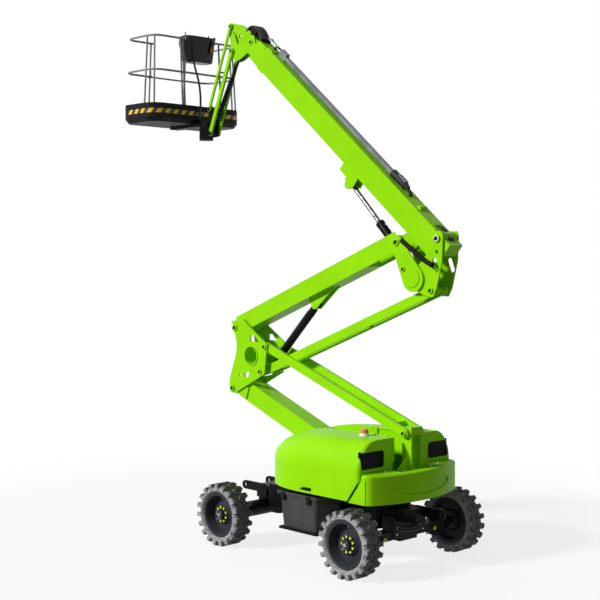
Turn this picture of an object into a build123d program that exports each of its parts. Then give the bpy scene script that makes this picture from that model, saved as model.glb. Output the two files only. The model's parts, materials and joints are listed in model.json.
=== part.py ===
"""Articulating boom lift, four wheel drive, about 21 m working height.

Millimetres. +X runs along the chassis towards the end the boom reaches over,
+Y is the left side, +Z is up. The origin is on the ground under the middle of
the machine's box, as it stands with the booms part raised.
"""
import os
from math import atan2, cos, degrees, hypot, radians, sin

from build123d import *

os.makedirs("parts", exist_ok=True)

# chassis and wheels
CX = -877.0
WHEELBASE = 2360.0
HALF_WIDTH = 1135.0
TYRE_R = 420.0
TYRE_W = 290.0
TREAD_DEPTH = 30.0
LUG_COUNT = 19
RIM_R = 296.0
WHEEL_Y = HALF_WIDTH - TYRE_W / 2
KING_Y = 730.0
SPINDLE_R = 45.0
NUT_COUNT = 9
NUT_CIRCLE = 95.0
FRAME_HALF = 330.0
FRAME_Z0 = 470.0
FRAME_Z1 = 770.0
LUG_OUT = 430.0
BOX_LEN = 750.0
BOX_X = -130.0
RING_R = 345.0

# turret
TABLE_Z = 878.0
TABLE_T = 45.0
HOOD_Y0 = 232.0
HOOD_Y1 = 890.0
HOOD_X0 = -1220.0
HOOD_X1 = 740.0
HOOD_NOSE = 880.0
HOOD_Z0 = 900.0
HOOD_BROW = 1230.0
HOOD_Z1 = 1640.0
HOOD_FALL = 950.0
HOOD_TUCK = 290.0
HOOD_CORNER = 60.0
HOOD_WALL = 14.0
HINGE_R = 12.0
HINGE_PIN_R = 6.0
HINGE_X = (-1000.0, -500.0)
TAIL_X = -1240.0
TAIL_END = -1560.0
TAIL_CORNER = -1330.0
TAIL_Y = 862.0
CW_Z1 = 1245.0

# riser: lower boom and link, upper boom and link, all pinned as parallelograms
Q0 = 21.4
LOWER_Q = 20.2
LOWER_LEN = 2740.0
RISER_LEN = 3330.0
LOWER_TIP_X = 1940.0
LOWER_TIP_Z = 2010.0
LOWER_LINK_DX = -680.0
LOWER_LINK_DZ = 630.0
RISER_ROOT_DX = -50.0
RISER_ROOT_DZ = 875.0
RISER_LINK_DX = -540.0
RISER_LINK_DZ = -600.0
BOOM_HALF = 140.0
LOWER_H = 265.0
RISER_H = 245.0
LINK_H = 118.0
LINK_Y = 136.0
LINK_T = 46.0
TIE_Y = 84.0
TIE_T = 36.0
PLATE_Y = 168.0
PLATE_T = 20.0
FIT = 0.08
SEAT = 0.3

# main boom
BETA = 40.5
MAIN_H = 325.0
MAIN_W = 250.0
PIVOT_UP = 117.0
PIVOT_BACK = -640.0
PIVOT_RISE = 40.0
MAIN_LEN = 4130.0
INNER_TIP = 4557.0
LIFT_S = 1675.0
LIFT_DROP = 470.0

# jib and platform
JIB_LEN = 1272.0
JIB_ANGLE = -67.5
ARM_Y = 75.0
ARM_T = 30.0
TIE_ROD_T = 24.0
JIB_TUBE = 64.0
HEAD_Y = 56.0
HEAD_T = 16.0
HEAD_DX = 400.0
HEAD_DZ = -80.0
JIB_TIE_DX = 28.0
JIB_TIE_DZ = 364.0
TURN_DX = 190.0
PLAT_GAP = 160.0
PLAT_W = 1765.0
PLAT_D = 850.0
PLAT_R = 240.0
PLAT_H = 275.0
PLAT_Z = 165.0
PLAT_RIM = 50.0
PLAT_FLOOR = 75.0
RAIL_H = 1160.0
RAIL_LEAN = 55.0
RAIL_R = 16.0
POST_R = 14.0


def turn(origin, along, across, angle):
    """Point a distance along a direction in the side view and another across it."""
    c, s = cos(radians(angle)), sin(radians(angle))
    return origin[0] + along * c - across * s, origin[1] + along * s + across * c


def middle(p, q):
    return (p[0] + q[0]) / 2, (p[1] + q[1]) / 2


def side(y):
    """Side-view plane at a distance to the left, extruding towards the right."""
    return Plane.XZ.offset(-y)


def span(p, q):
    return hypot(q[0] - p[0], q[1] - p[1]), degrees(atan2(q[1] - p[1], q[0] - p[0]))


# pins of the boom system in the side view
LOWER_TIP = (CX + LOWER_TIP_X, LOWER_TIP_Z)
LOWER_ROOT = turn(LOWER_TIP, -LOWER_LEN, 0, LOWER_Q)
LINK_TIP = (LOWER_TIP[0] + LOWER_LINK_DX, LOWER_TIP[1] + LOWER_LINK_DZ)
LINK_ROOT = turn(LINK_TIP, -LOWER_LEN, 0, LOWER_Q)
RISER_ROOT = (LOWER_TIP[0] + RISER_ROOT_DX, LOWER_TIP[1] + RISER_ROOT_DZ)
RISER_TIP = turn(RISER_ROOT, -RISER_LEN, 0, -Q0)
TIE_ROOT = (RISER_ROOT[0] + RISER_LINK_DX, RISER_ROOT[1] + RISER_LINK_DZ)
TIE_TIP = turn(TIE_ROOT, -RISER_LEN, 0, -Q0)
MID_TUBE = (LOWER_TIP[0] - 400, LOWER_TIP[1] + 490)
RISER_EYE = turn(RISER_ROOT, -1532, -205, -Q0)
MAIN_PIN = (RISER_TIP[0] + PIVOT_BACK, RISER_TIP[1] + PIVOT_RISE)
TOP_TUBE = (RISER_TIP[0] - 270, RISER_TIP[1] - 460)
LIFT_FOOT = (RISER_TIP[0] - 120, RISER_TIP[1] - 340)
LIFT_EYE = turn(MAIN_PIN, LIFT_S, -LIFT_DROP, BETA)
HEAD_PIN = turn(MAIN_PIN, INNER_TIP, -PIVOT_UP, BETA)
JIB_TOP = (HEAD_PIN[0] + HEAD_DX, HEAD_PIN[1] + HEAD_DZ)
JIB_END = turn(JIB_TOP, JIB_LEN, 0, JIB_ANGLE)
TIE_TOP = (JIB_TOP[0] + JIB_TIE_DX, JIB_TOP[1] + JIB_TIE_DZ)
TIE_END = (JIB_END[0] + JIB_TIE_DX, JIB_END[1] + JIB_TIE_DZ)
JIB_EYE = (JIB_TOP[0] - 90, JIB_TOP[1] - 110)
JIB_FOOT = turn(JIB_TOP, 1000, 0, JIB_ANGLE)
TURN_X = JIB_END[0] + TURN_DX
PLAT_X0 = TURN_X + PLAT_GAP
PLAT_X = PLAT_X0 + PLAT_D / 2
PLAT_Z0 = JIB_END[1] + PLAT_Z
AXLE_X = WHEELBASE / 2
STEER_X = CX - AXLE_X
DRIVE_X = CX + AXLE_X

# chassis frame with the slew ring's fixed race and the box trays
with BuildPart() as chassis:
    with BuildSketch(Plane.XY.offset(FRAME_Z0)):
        with Locations((CX, 0)):
            RectangleRounded(WHEELBASE - 300, 2 * FRAME_HALF, 40)
    extrude(amount=FRAME_Z1 - FRAME_Z0)
    with Locations((CX, 0, (FRAME_Z1 + TABLE_Z - 40) / 2 - 5)):
        Cylinder(RING_R, TABLE_Z - 40 - FRAME_Z1 + 10)
    with Locations((CX + BOX_X, 0, FRAME_Z0 - 85)):
        Box(BOX_LEN - 60, 2 * 880, 30)
    with Locations((CX + BOX_X, 0, FRAME_Z0 - 40)):
        Box(BOX_LEN - 160, 2 * FRAME_HALF, 100)
    for x in (STEER_X, DRIVE_X):
        with Locations((x, 0, TYRE_R + 185)):
            Box(200, 2 * 310, 110)
    with BuildSketch(Plane.XY.offset(FRAME_Z0 + 130)):
        for x in (STEER_X + 25, DRIVE_X - 25):
            with Locations((x, 0)):
                Rectangle(350, 2 * FRAME_HALF - 150)
    extrude(amount=110)
    for x, back in ((STEER_X - LUG_OUT, 1), (DRIVE_X + LUG_OUT, -1)):
        with BuildSketch(side(FRAME_HALF - 90)):
            with Locations((x, FRAME_Z0 + 190)):
                Circle(60)
            with Locations((x + back * (LUG_OUT - 10) / 2, FRAME_Z0 + 190)):
                Rectangle(LUG_OUT - 10, 120)
            with Locations((x, FRAME_Z0 + 190)):
                Circle(26, mode=Mode.SUBTRACT)
        extrude(amount=30)
    mirror(about=Plane.XZ)
chassis.part.label = "chassis"
export_step(chassis.part, "parts/chassis.step")

# drive axle, fixed under the end that the boom reaches over
with BuildPart() as drive_axle:
    with BuildSketch(Plane.YZ.offset(DRIVE_X)):
        with Locations((0, TYRE_R)):
            Rectangle(2 * (KING_Y + 20), 100)
            Ellipse(230, 126)
    extrude(amount=85, both=True)
    with BuildSketch(Plane.XZ):
        with Locations((DRIVE_X, TYRE_R)):
            Circle(105)
    extrude(amount=KING_Y + 40, both=True)
    with BuildSketch(Plane.XZ):
        with Locations((DRIVE_X, TYRE_R)):
            Circle(SPINDLE_R)
    extrude(amount=WHEEL_Y + 40, both=True)
    with Locations((DRIVE_X, 0, TYRE_R + 80)):
        Box(300, 460, 100)
drive_axle.part.label = "drive_axle"
export_step(drive_axle.part, "parts/drive_axle.step")

# steered axle, under the counterweight: beam with a yoke at each end
with BuildPart() as steer_axle:
    with BuildSketch(Plane.YZ.offset(STEER_X)):
        with Locations((0, TYRE_R)):
            Rectangle(2 * (KING_Y - 110), 110)
    extrude(amount=80, both=True)
    with Locations((STEER_X, 0, TYRE_R + 55)):
        Box(190, 2 * 310, 150)
    fillet(steer_axle.edges().filter_by(Axis.X).group_by(Axis.Z)[0], 25)
    with Locations((STEER_X, 0, TYRE_R - 40)):
        Box(150, 330, 110)
    for s in (-1, 1):
        with Locations((STEER_X, s * (KING_Y - 130), TYRE_R)):
            Box(130, 60, 290)
        for z in (-125, 125):
            with Locations((STEER_X, s * (KING_Y - 70), TYRE_R + z)):
                Box(110, 140, 40)
            with Locations((STEER_X, s * KING_Y, TYRE_R + z)):
                Cylinder(62, 40)
        with Locations((STEER_X, s * KING_Y, TYRE_R)):
            Cylinder(28, 290)
steer_axle.part.label = "steer_axle"
export_step(steer_axle.part, "parts/steer_axle.step")

# steering knuckles: a barrel on the king pin, the wheel's spindle and a track arm
with BuildPart() as knuckle_left:
    with Locations((STEER_X, KING_Y, TYRE_R)):
        Cylinder(60, 200)
    with BuildSketch(side(KING_Y + 30)):
        with Locations((STEER_X, TYRE_R)):
            Circle(85)
    extrude(amount=-60)
    with BuildSketch(side(KING_Y + 30)):
        with Locations((STEER_X, TYRE_R)):
            Circle(SPINDLE_R)
    extrude(amount=-(WHEEL_Y + 40 - KING_Y - 30))
    with BuildSketch(Plane.XY.offset(TYRE_R - 80)):
        with BuildLine():
            Polyline((STEER_X - 30, KING_Y + 40), (STEER_X + 190, KING_Y - 30),
                     (STEER_X + 190, KING_Y - 80), (STEER_X - 30, KING_Y - 40), close=True)
        make_face()
    extrude(amount=35)
    with Locations((STEER_X, KING_Y, TYRE_R)):
        Cylinder(28 + FIT, 400, mode=Mode.SUBTRACT)
knuckle_left.part.label = "knuckle_left"
export_step(knuckle_left.part, "parts/knuckle_left.step")
with BuildPart() as knuckle_right:
    add(mirror(knuckle_left.part, about=Plane.XZ))
knuckle_right.part.label = "knuckle_right"
export_step(knuckle_right.part, "parts/knuckle_right.step")

# track rod between the knuckles' arms
with BuildPart() as track_rod:
    with BuildSketch(Plane.XZ):
        with Locations((STEER_X + 170, TYRE_R - 104 - SEAT)):
            Circle(20)
    extrude(amount=KING_Y - 20, both=True)
    for s in (-1, 1):
        with Locations((STEER_X + 170, s * (KING_Y - 60), TYRE_R - 104 - SEAT)):
            Cylinder(34, 48)
track_rod.part.label = "track_rod"
export_step(track_rod.part, "parts/track_rod.step")

# tool and battery tubs, one on each side between the wheels
with BuildPart() as tub_left:
    with BuildSketch(Plane.XY.offset(FRAME_Z0 - 70)):
        with Locations((CX + BOX_X, (FRAME_HALF + 890) / 2 + 20)):
            RectangleRounded(BOX_LEN - 130, 890 - FRAME_HALF - 130, 45)
    extrude(amount=FRAME_Z1 - FRAME_Z0 + 130, taper=-6)
    with BuildSketch(Plane.XY.offset(FRAME_Z1 + 60)):
        with Locations((CX + BOX_X, (FRAME_HALF + 890) / 2 + 20)):
            RectangleRounded(BOX_LEN + 16, 890 - FRAME_HALF - 9, 50)
    extrude(amount=35)
tub_left.part.label = "tub_left"
export_step(tub_left.part, "parts/tub_left.step")
with BuildPart() as tub_right:
    add(mirror(tub_left.part, about=Plane.XZ))
tub_right.part.label = "tub_right"
export_step(tub_right.part, "parts/tub_right.step")

# wheel, made about the Y axis with its outer face towards +Y, then placed four times
with BuildPart() as rim:
    with BuildSketch(Plane.YZ):
        with BuildLine():
            Polyline((-TYRE_W / 2 + 30, RIM_R), (-TYRE_W / 2 + 30, RIM_R - 40), (-40, RIM_R - 52),
                     (-40, 150), (-10, 120), (-60, 120), (-60, SPINDLE_R + FIT), (70, SPINDLE_R + FIT),
                     (70, 62), (30, 66), (30, 118), (0, 150), (-10, RIM_R - 70), (60, RIM_R - 50),
                     (TYRE_W / 2 - 30, RIM_R - 34), (TYRE_W / 2 - 30, RIM_R), (TYRE_W / 2 - 48, RIM_R),
                     (TYRE_W / 2 - 52, RIM_R - 22), (-TYRE_W / 2 + 52, RIM_R - 22),
                     (-TYRE_W / 2 + 48, RIM_R), close=True)
        make_face()
    revolve(axis=Axis.Y)
    with BuildSketch(side(28)):
        with PolarLocations(NUT_CIRCLE, NUT_COUNT):
            RegularPolygon(15, 6)
    extrude(amount=-24)
    with BuildSketch(side(68)):
        Circle(60)
    extrude(amount=-30)
with BuildPart() as lug:
    with BuildSketch(Plane.XY.offset(TYRE_R)):
        with BuildLine():
            Polyline((-40, -8), (8, -8), (46, 88), (42, TYRE_W / 2 - 26), (-14, TYRE_W / 2 - 26),
                     (-8, 88), close=True)
        make_face()
    extrude(amount=-62, taper=-6)
    with BuildSketch(Plane.XY.offset(TYRE_R - 8)):
        with BuildLine():
            Polyline((-12, TYRE_W / 2 - 40), (40, TYRE_W / 2 - 40), (38, TYRE_W / 2),
                     (-18, TYRE_W / 2), close=True)
        make_face()
    extrude(amount=-72)
LUG_STEP = 360.0 / LUG_COUNT
other_lug = mirror(lug.part, about=Plane.XZ)
lugs = [lug.part.rotate(Axis.Y, i * LUG_STEP) for i in range(LUG_COUNT)]
lugs += [other_lug.rotate(Axis.Y, (i + 0.5) * LUG_STEP) for i in range(LUG_COUNT)]
with BuildPart() as tyre:
    with BuildSketch(Plane.YZ):
        with BuildLine():
            Polyline((TYRE_W / 2 - 52, RIM_R - 22), (TYRE_W / 2 - 48, RIM_R),
                     (TYRE_W / 2 - 8, RIM_R + 25), (TYRE_W / 2 - 6, TYRE_R - 75),
                     (TYRE_W / 2 - 45, TYRE_R - TREAD_DEPTH - 6), (0, TYRE_R - TREAD_DEPTH),
                     (-TYRE_W / 2 + 45, TYRE_R - TREAD_DEPTH - 6), (-TYRE_W / 2 + 6, TYRE_R - 75),
                     (-TYRE_W / 2 + 8, RIM_R + 25), (-TYRE_W / 2 + 48, RIM_R),
                     (-TYRE_W / 2 + 52, RIM_R - 22), close=True)
        make_face()
    revolve(axis=Axis.Y)
    add(lugs)
    with BuildSketch(Plane.XZ):
        Circle(TYRE_R + 60)
        Circle(TYRE_R, mode=Mode.SUBTRACT)
    extrude(amount=TYRE_W, both=True, mode=Mode.SUBTRACT)

for where, x, s in (("drive_left", DRIVE_X, 1), ("drive_right", DRIVE_X, -1),
                    ("steer_left", STEER_X, 1), ("steer_right", STEER_X, -1)):
    place = Location((x, s * WHEEL_Y, TYRE_R), (0, 0, 0 if s > 0 else 180))
    rim_part, tyre_part = rim.part.moved(place), tyre.part.moved(place)
    rim_part.label, tyre_part.label = "rim_" + where, "tyre_" + where
    export_step(rim_part, "parts/rim_" + where + ".step")
    export_step(tyre_part, "parts/tyre_" + where + ".step")

# turntable: the slewing race, deck, boom cheeks, hinge uprights and the rear post with its pin
POST_HALF = LINK_Y - LINK_T / 2 - 8
POST_X0, POST_X1 = LINK_ROOT[0] - 80, LINK_ROOT[0] + 75
DECK_TOP = TABLE_Z + TABLE_T
with BuildPart() as turret:
    with Locations((CX, 0, TABLE_Z - 19.8)):
        Cylinder(RING_R - 25, 39.7)
    with BuildSketch(Plane.XY.offset(TABLE_Z)):
        with BuildLine():
            Polyline((CX + HOOD_X1 - 120, 300), (CX + HOOD_X1 - 120, -300), (CX + HOOD_X1 - 330, -620),
                     (CX + 100, -810), (CX + TAIL_X + SEAT, -810), (CX + TAIL_X + SEAT, 810),
                     (CX + 100, 810), (CX + HOOD_X1 - 330, 620), close=True)
        make_face()
        with Locations(((POST_X0 + CX + TAIL_X) / 2, 0)):
            Rectangle(CX + TAIL_X - POST_X0 + 80, 660)
    extrude(amount=TABLE_T)
    with BuildSketch(side(PLATE_Y + PLATE_T)):
        with BuildLine():
            Polyline((LOWER_ROOT[0] + 420, TABLE_Z + 20), (LOWER_ROOT[0] + 420, DECK_TOP + 25),
                     (LOWER_ROOT[0] + 110, LOWER_ROOT[1] + 95), (LOWER_ROOT[0] - 100, LOWER_ROOT[1] + 95),
                     (LOWER_ROOT[0] - 330, DECK_TOP + 25), (LOWER_ROOT[0] - 330, TABLE_Z + 20), close=True)
        make_face()
    extrude(amount=PLATE_T)
    mirror(about=Plane.XZ)
    with BuildSketch(Plane.XZ):
        with Locations(LOWER_ROOT):
            Circle(40)
    extrude(amount=PLATE_Y + PLATE_T + 15, both=True)
    with BuildSketch(Plane.XZ):
        with BuildLine():
            Polyline((POST_X1, TABLE_Z + 20), (POST_X1, LINK_ROOT[1] + 70), (POST_X0, LINK_ROOT[1] + 70),
                     (POST_X0, TABLE_Z + 20), close=True)
        make_face()
    extrude(amount=POST_HALF, both=True)
    with BuildSketch(Plane.XZ):
        with Locations((POST_X0, (CW_Z1 + LINK_ROOT[1]) / 2 - 10)):
            Rectangle(150, LINK_ROOT[1] - CW_Z1 - 40)
    extrude(amount=POST_HALF - 30, both=True, mode=Mode.SUBTRACT)
    with BuildSketch(Plane.XZ):
        with Locations(LINK_ROOT):
            Circle(32)
    extrude(amount=LINK_Y + LINK_T / 2 + 22, both=True)
    with BuildSketch(Plane.YZ.offset(LINK_ROOT[0] - 30)):
        with BuildLine():
            Polyline((POST_HALF - 10, TABLE_Z + 20), (320, TABLE_Z + 20), (320, CW_Z1 - 20),
                     (POST_HALF - 10, CW_Z1 + 170), close=True)
        make_face()
    extrude(amount=24)
    mirror(about=Plane.XZ)
    for x in HINGE_X:
        with Locations((CX + x, HOOD_Y0 - 19, (TABLE_Z + 20 + HOOD_Z1) / 2)):
            Box(56, 10, HOOD_Z1 - TABLE_Z - 20)
        with BuildSketch(Plane.YZ.offset(CX + x - 28)):
            with Locations((HOOD_Y0, HOOD_Z1)):
                Circle(HINGE_R)
            with Locations((HOOD_Y0 - 12, HOOD_Z1)):
                Rectangle(24, 2 * HINGE_R)
        extrude(amount=56)
        with BuildSketch(Plane.YZ.offset(CX + x - 120)):
            with Locations((HOOD_Y0, HOOD_Z1)):
                Circle(HINGE_PIN_R)
        extrude(amount=240)
    mirror(about=Plane.XZ)
turret.part.label = "turret"
export_step(turret.part, "parts/turret.step")

# blank oval that follows the counterweight's curved rear
TAIL_R = (TAIL_Y ** 2 + (TAIL_END - TAIL_CORNER) ** 2) / (2 * (TAIL_CORNER - TAIL_END))
with BuildPart() as oval:
    with BuildSketch(Plane.YZ.offset(CX + TAIL_END - 30)):
        with Locations((0, (TABLE_Z + CW_Z1) / 2)):
            Ellipse(520, 105)
    extrude(amount=240)
    with BuildSketch(Plane.XY.offset(TABLE_Z)):
        with Locations((CX + TAIL_END + TAIL_R, 0)):
            Circle(TAIL_R + 60)
            Circle(TAIL_R - 20, mode=Mode.SUBTRACT)
    extrude(amount=CW_Z1 - TABLE_Z, mode=Mode.INTERSECT)

# counterweight across the tail, with a wing under each hood's rear corner
with BuildPart() as counterweight:
    with BuildSketch(Plane.XY.offset(TABLE_Z)) as tail_plan:
        with BuildLine():
            Polyline((CX + TAIL_CORNER, TAIL_Y), (CX + TAIL_X, TAIL_Y), (CX + TAIL_X, -TAIL_Y),
                     (CX + TAIL_CORNER, -TAIL_Y))
            ThreePointArc((CX + TAIL_CORNER, -TAIL_Y), (CX + TAIL_END, 0), (CX + TAIL_CORNER, TAIL_Y))
        make_face()
        fillet(tail_plan.vertices().group_by(Axis.X)[0], 130)
    extrude(amount=CW_Z1 - TABLE_Z)
    fillet(counterweight.faces().sort_by(Axis.Z)[-1].edges().sort_by(Axis.X)[:-1], 35)
    with BuildSketch(side(TAIL_Y)):
        with BuildLine():
            Polyline((CX + TAIL_X - 60, TABLE_Z), (CX + TAIL_X + 230, TABLE_Z), (CX + TAIL_X, CW_Z1 - 60),
                     (CX + TAIL_X - 60, CW_Z1 - 60), close=True)
        make_face()
    extrude(amount=40)
    mirror(about=Plane.XZ)
    add(oval.part, mode=Mode.SUBTRACT)
    with BuildSketch(Plane.XY.offset(TABLE_Z)):
        with Locations(((POST_X0 + CX + TAIL_X) / 2 - 20, 0)):
            Rectangle(CX + TAIL_X - POST_X0 + 60, 680)
    extrude(amount=CW_Z1 - TABLE_Z, mode=Mode.SUBTRACT)
counterweight.part.label = "counterweight"
export_step(counterweight.part, "parts/counterweight.step")

# hoods: one domed shell each side of the booms, hinged along its inner top edge
DOME = (0.0, 25.0, 48.0, 70.0, 90.0)


def hood_plan(angle, wall):
    """Plan of the hood at an angle up its dome, drawn in by a wall thickness."""
    drop = 1 - cos(radians(angle))
    z = HOOD_BROW + (HOOD_Z1 - HOOD_BROW - wall) * sin(radians(angle))
    x0, y0 = CX + HOOD_X0 + wall, HOOD_Y0 + wall
    x1, y1 = CX + HOOD_X1 - HOOD_FALL * drop - wall, HOOD_Y1 - HOOD_TUCK * drop - wall
    xc, r = x1 - HOOD_NOSE, HOOD_CORNER
    with BuildSketch(Plane.XY.offset(z)) as plan:
        with BuildLine():
            EllipticalCenterArc((xc, y0), HOOD_NOSE, y1 - y0, start_angle=0, arc_size=90)
            Line((xc, y1), (x0 + r, y1))
            RadiusArc((x0 + r, y1), (x0, y1 - r), -r)
            Polyline((x0, y1 - r), (x0, y0), (x1, y0))
        make_face()
    return plan.sketch


inner_plans = [hood_plan(angle, HOOD_WALL) for angle in DOME]
outer_plans = [hood_plan(angle, 0) for angle in DOME]
with BuildPart() as hood_inside:
    extrude(inner_plans[0], amount=-(HOOD_BROW - HOOD_Z0 + 20))
    loft(inner_plans)
with BuildPart() as hood_left:
    extrude(outer_plans[0], amount=-(HOOD_BROW - HOOD_Z0))
    loft(outer_plans)
    add(hood_inside.part, mode=Mode.SUBTRACT)
    with Locations((CX, HOOD_Y0, TABLE_Z + 220)):
        Box(4000, 60, 470, mode=Mode.SUBTRACT)
    with BuildSketch(side(HOOD_Y1 + 10)):
        with BuildLine():
            Polyline((CX + TAIL_X + 240, TABLE_Z), (CX + TAIL_X + 10, CW_Z1 - 50),
                     (CX + TAIL_X - 60, CW_Z1 - 50), (CX + TAIL_X - 60, TABLE_Z), close=True)
        make_face()
    extrude(amount=HOOD_Y1 - HOOD_Y0 + 20, mode=Mode.SUBTRACT)
    with BuildSketch(Plane.YZ.offset(CX + HOOD_X0 - 10)):
        with Locations((630, 1400)):
            RectangleRounded(420, 210, 45)
    extrude(amount=60, mode=Mode.SUBTRACT)
    with BuildSketch(Plane.YZ.offset(CX + HINGE_X[0] - 110)):
        with Locations((HOOD_Y0, HOOD_Z1)):
            Circle(HINGE_R)
    extrude(amount=HINGE_X[1] - HINGE_X[0] + 220)
    for x in HINGE_X:
        with Locations((CX + x, HOOD_Y0, HOOD_Z1)):
            Box(66, 56, 56, mode=Mode.SUBTRACT)
    with BuildSketch(Plane.YZ.offset(CX + HOOD_X0)):
        with Locations((HOOD_Y0, HOOD_Z1)):
            Circle(HINGE_PIN_R + FIT)
    extrude(amount=HOOD_X1 - HOOD_X0, mode=Mode.SUBTRACT)
hood_left.part.label = "hood_left"
export_step(hood_left.part, "parts/hood_left.step")
with BuildPart() as hood_right:
    add(mirror(hood_left.part, about=Plane.XZ))
hood_right.part.label = "hood_right"
export_step(hood_right.part, "parts/hood_right.step")

# engine and motor block under the left hood
with BuildPart() as engine:
    with Locations((CX - 520, 520, TABLE_Z + TABLE_T + 210)):
        Box(800, 400, 420)
    fillet(engine.edges().filter_by(Axis.Z), 30)
engine.part.label = "engine"
export_step(engine.part, "parts/engine.step")

# beacon on the left hood
BEACON = (CX - 860.0, 400.0, HOOD_Z1 + 45.0)
with BuildPart() as beacon:
    with Locations(BEACON):
        Cylinder(55, 90)
    fillet(beacon.edges().sort_by(Axis.Z)[-1], 30)
beacon.part.label = "beacon"
export_step(beacon.part, "parts/beacon.step")

# lower boom: its box lies a little steeper than the line of its pins
BOX_Q = 21.3
with BuildPart() as boom_lower:
    with BuildSketch(Plane.XZ):
        with Locations(turn(LOWER_TIP, -LOWER_LEN / 2, 70, BOX_Q)):
            Rectangle(LOWER_LEN - 260, LOWER_H, rotation=BOX_Q)
    extrude(amount=BOOM_HALF, both=True)
    for pin, inner in ((LOWER_ROOT, 150), (LOWER_TIP, -150)):
        with BuildSketch(Plane.XZ):
            with Locations(pin):
                Circle(78)
            with Locations(turn(pin, inner, 40, LOWER_Q)):
                Rectangle(280, 170, rotation=LOWER_Q)
            with Locations(pin):
                Circle(40 + FIT, mode=Mode.SUBTRACT)
        extrude(amount=PLATE_Y - 6, both=True)
boom_lower.part.label = "boom_lower"
export_step(boom_lower.part, "parts/boom_lower.step")

# lower link: twin rails tied by a cross tube near the root
with BuildPart() as link_lower:
    with BuildSketch(side(LINK_Y + LINK_T / 2)):
        with Locations(middle(LINK_ROOT, LINK_TIP)):
            Rectangle(LOWER_LEN, LINK_H, rotation=LOWER_Q)
        for pin in (LINK_ROOT, LINK_TIP):
            with Locations(pin):
                Circle(LINK_H / 2)
        for pin in (LINK_ROOT, LINK_TIP):
            with Locations(pin):
                Circle(32 + FIT, mode=Mode.SUBTRACT)
    extrude(amount=LINK_T)
    mirror(about=Plane.XZ)
    with BuildSketch(Plane.XZ):
        with Locations(turn(LINK_ROOT, 230, 0, LOWER_Q)):
            Circle(35)
    extrude(amount=LINK_Y, both=True)
link_lower.part.label = "link_lower"
export_step(link_lower.part, "parts/link_lower.step")

# middle knuckle: two pierced plates, a big cross tube and the pins, those of the links as stubs
STUB_IN = 40.0
with BuildPart() as knuckle_mid:
    with BuildSketch(side(PLATE_Y + PLATE_T)):
        with BuildLine():
            Polyline((RISER_ROOT[0] + 15, RISER_ROOT[1] - 30), (RISER_ROOT[0] - 35, RISER_ROOT[1] - 220))
            Spline((RISER_ROOT[0] - 35, RISER_ROOT[1] - 220), (MID_TUBE[0] + 318, MID_TUBE[1] + 60),
                   (MID_TUBE[0] + 350, MID_TUBE[1] - 60), (LOWER_TIP[0] + 74, LOWER_TIP[1] + 20))
            Polyline((LOWER_TIP[0] + 74, LOWER_TIP[1] + 20), (LOWER_TIP[0] + 55, LOWER_TIP[1] - 60),
                     (LOWER_TIP[0] - 45, LOWER_TIP[1] - 78), (TIE_ROOT[0] + 20, TIE_ROOT[1] - 85),
                     (TIE_ROOT[0] - 88, TIE_ROOT[1] - 30), (LINK_TIP[0] - 55, LINK_TIP[1] + 40),
                     (LINK_TIP[0] + 310, RISER_ROOT[1] + 20), (RISER_ROOT[0] - 170, RISER_ROOT[1] + 130),
                     (RISER_ROOT[0] + 75, RISER_ROOT[1] + 90), (RISER_ROOT[0] + 15, RISER_ROOT[1] - 30))
        make_face()
        with Locations(MID_TUBE):
            Circle(126, mode=Mode.SUBTRACT)
        with Locations((MID_TUBE[0] + 30, MID_TUBE[1] - 268)):
            SlotOverall(230, 84, rotation=-12, mode=Mode.SUBTRACT)
        with Locations((MID_TUBE[0] + 235, MID_TUBE[1] - 290)):
            Circle(22, mode=Mode.SUBTRACT)
        with BuildLine():
            Polyline((LINK_TIP[0] + 295, LINK_TIP[1] + 150), (LINK_TIP[0] + 215, LINK_TIP[1] + 150),
                     (LINK_TIP[0] + 120, LINK_TIP[1] + 62), (LINK_TIP[0] + 295, LINK_TIP[1] + 62), close=True)
        make_face(mode=Mode.SUBTRACT)
    extrude(amount=PLATE_T)
    mirror(about=Plane.XZ)
    with BuildSketch(Plane.XZ):
        with Locations(MID_TUBE):
            Circle(144)
            Circle(126, mode=Mode.SUBTRACT)
    extrude(amount=PLATE_Y + PLATE_T + 12, both=True)
    for pin in (LOWER_TIP, RISER_ROOT):
        with BuildSketch(Plane.XZ):
            with Locations(pin):
                Circle(40)
        extrude(amount=PLATE_Y + PLATE_T + 16, both=True)
    for pin, inner in ((LINK_TIP, LINK_Y - LINK_T / 2 - 4), (TIE_ROOT, STUB_IN)):
        with BuildSketch(side(PLATE_Y + PLATE_T + 16)):
            with Locations(pin):
                Circle(32)
        extrude(amount=PLATE_Y + PLATE_T + 16 - inner)
        mirror(about=Plane.XZ)
knuckle_mid.part.label = "knuckle_mid"
export_step(knuckle_mid.part, "parts/knuckle_mid.step")

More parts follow.
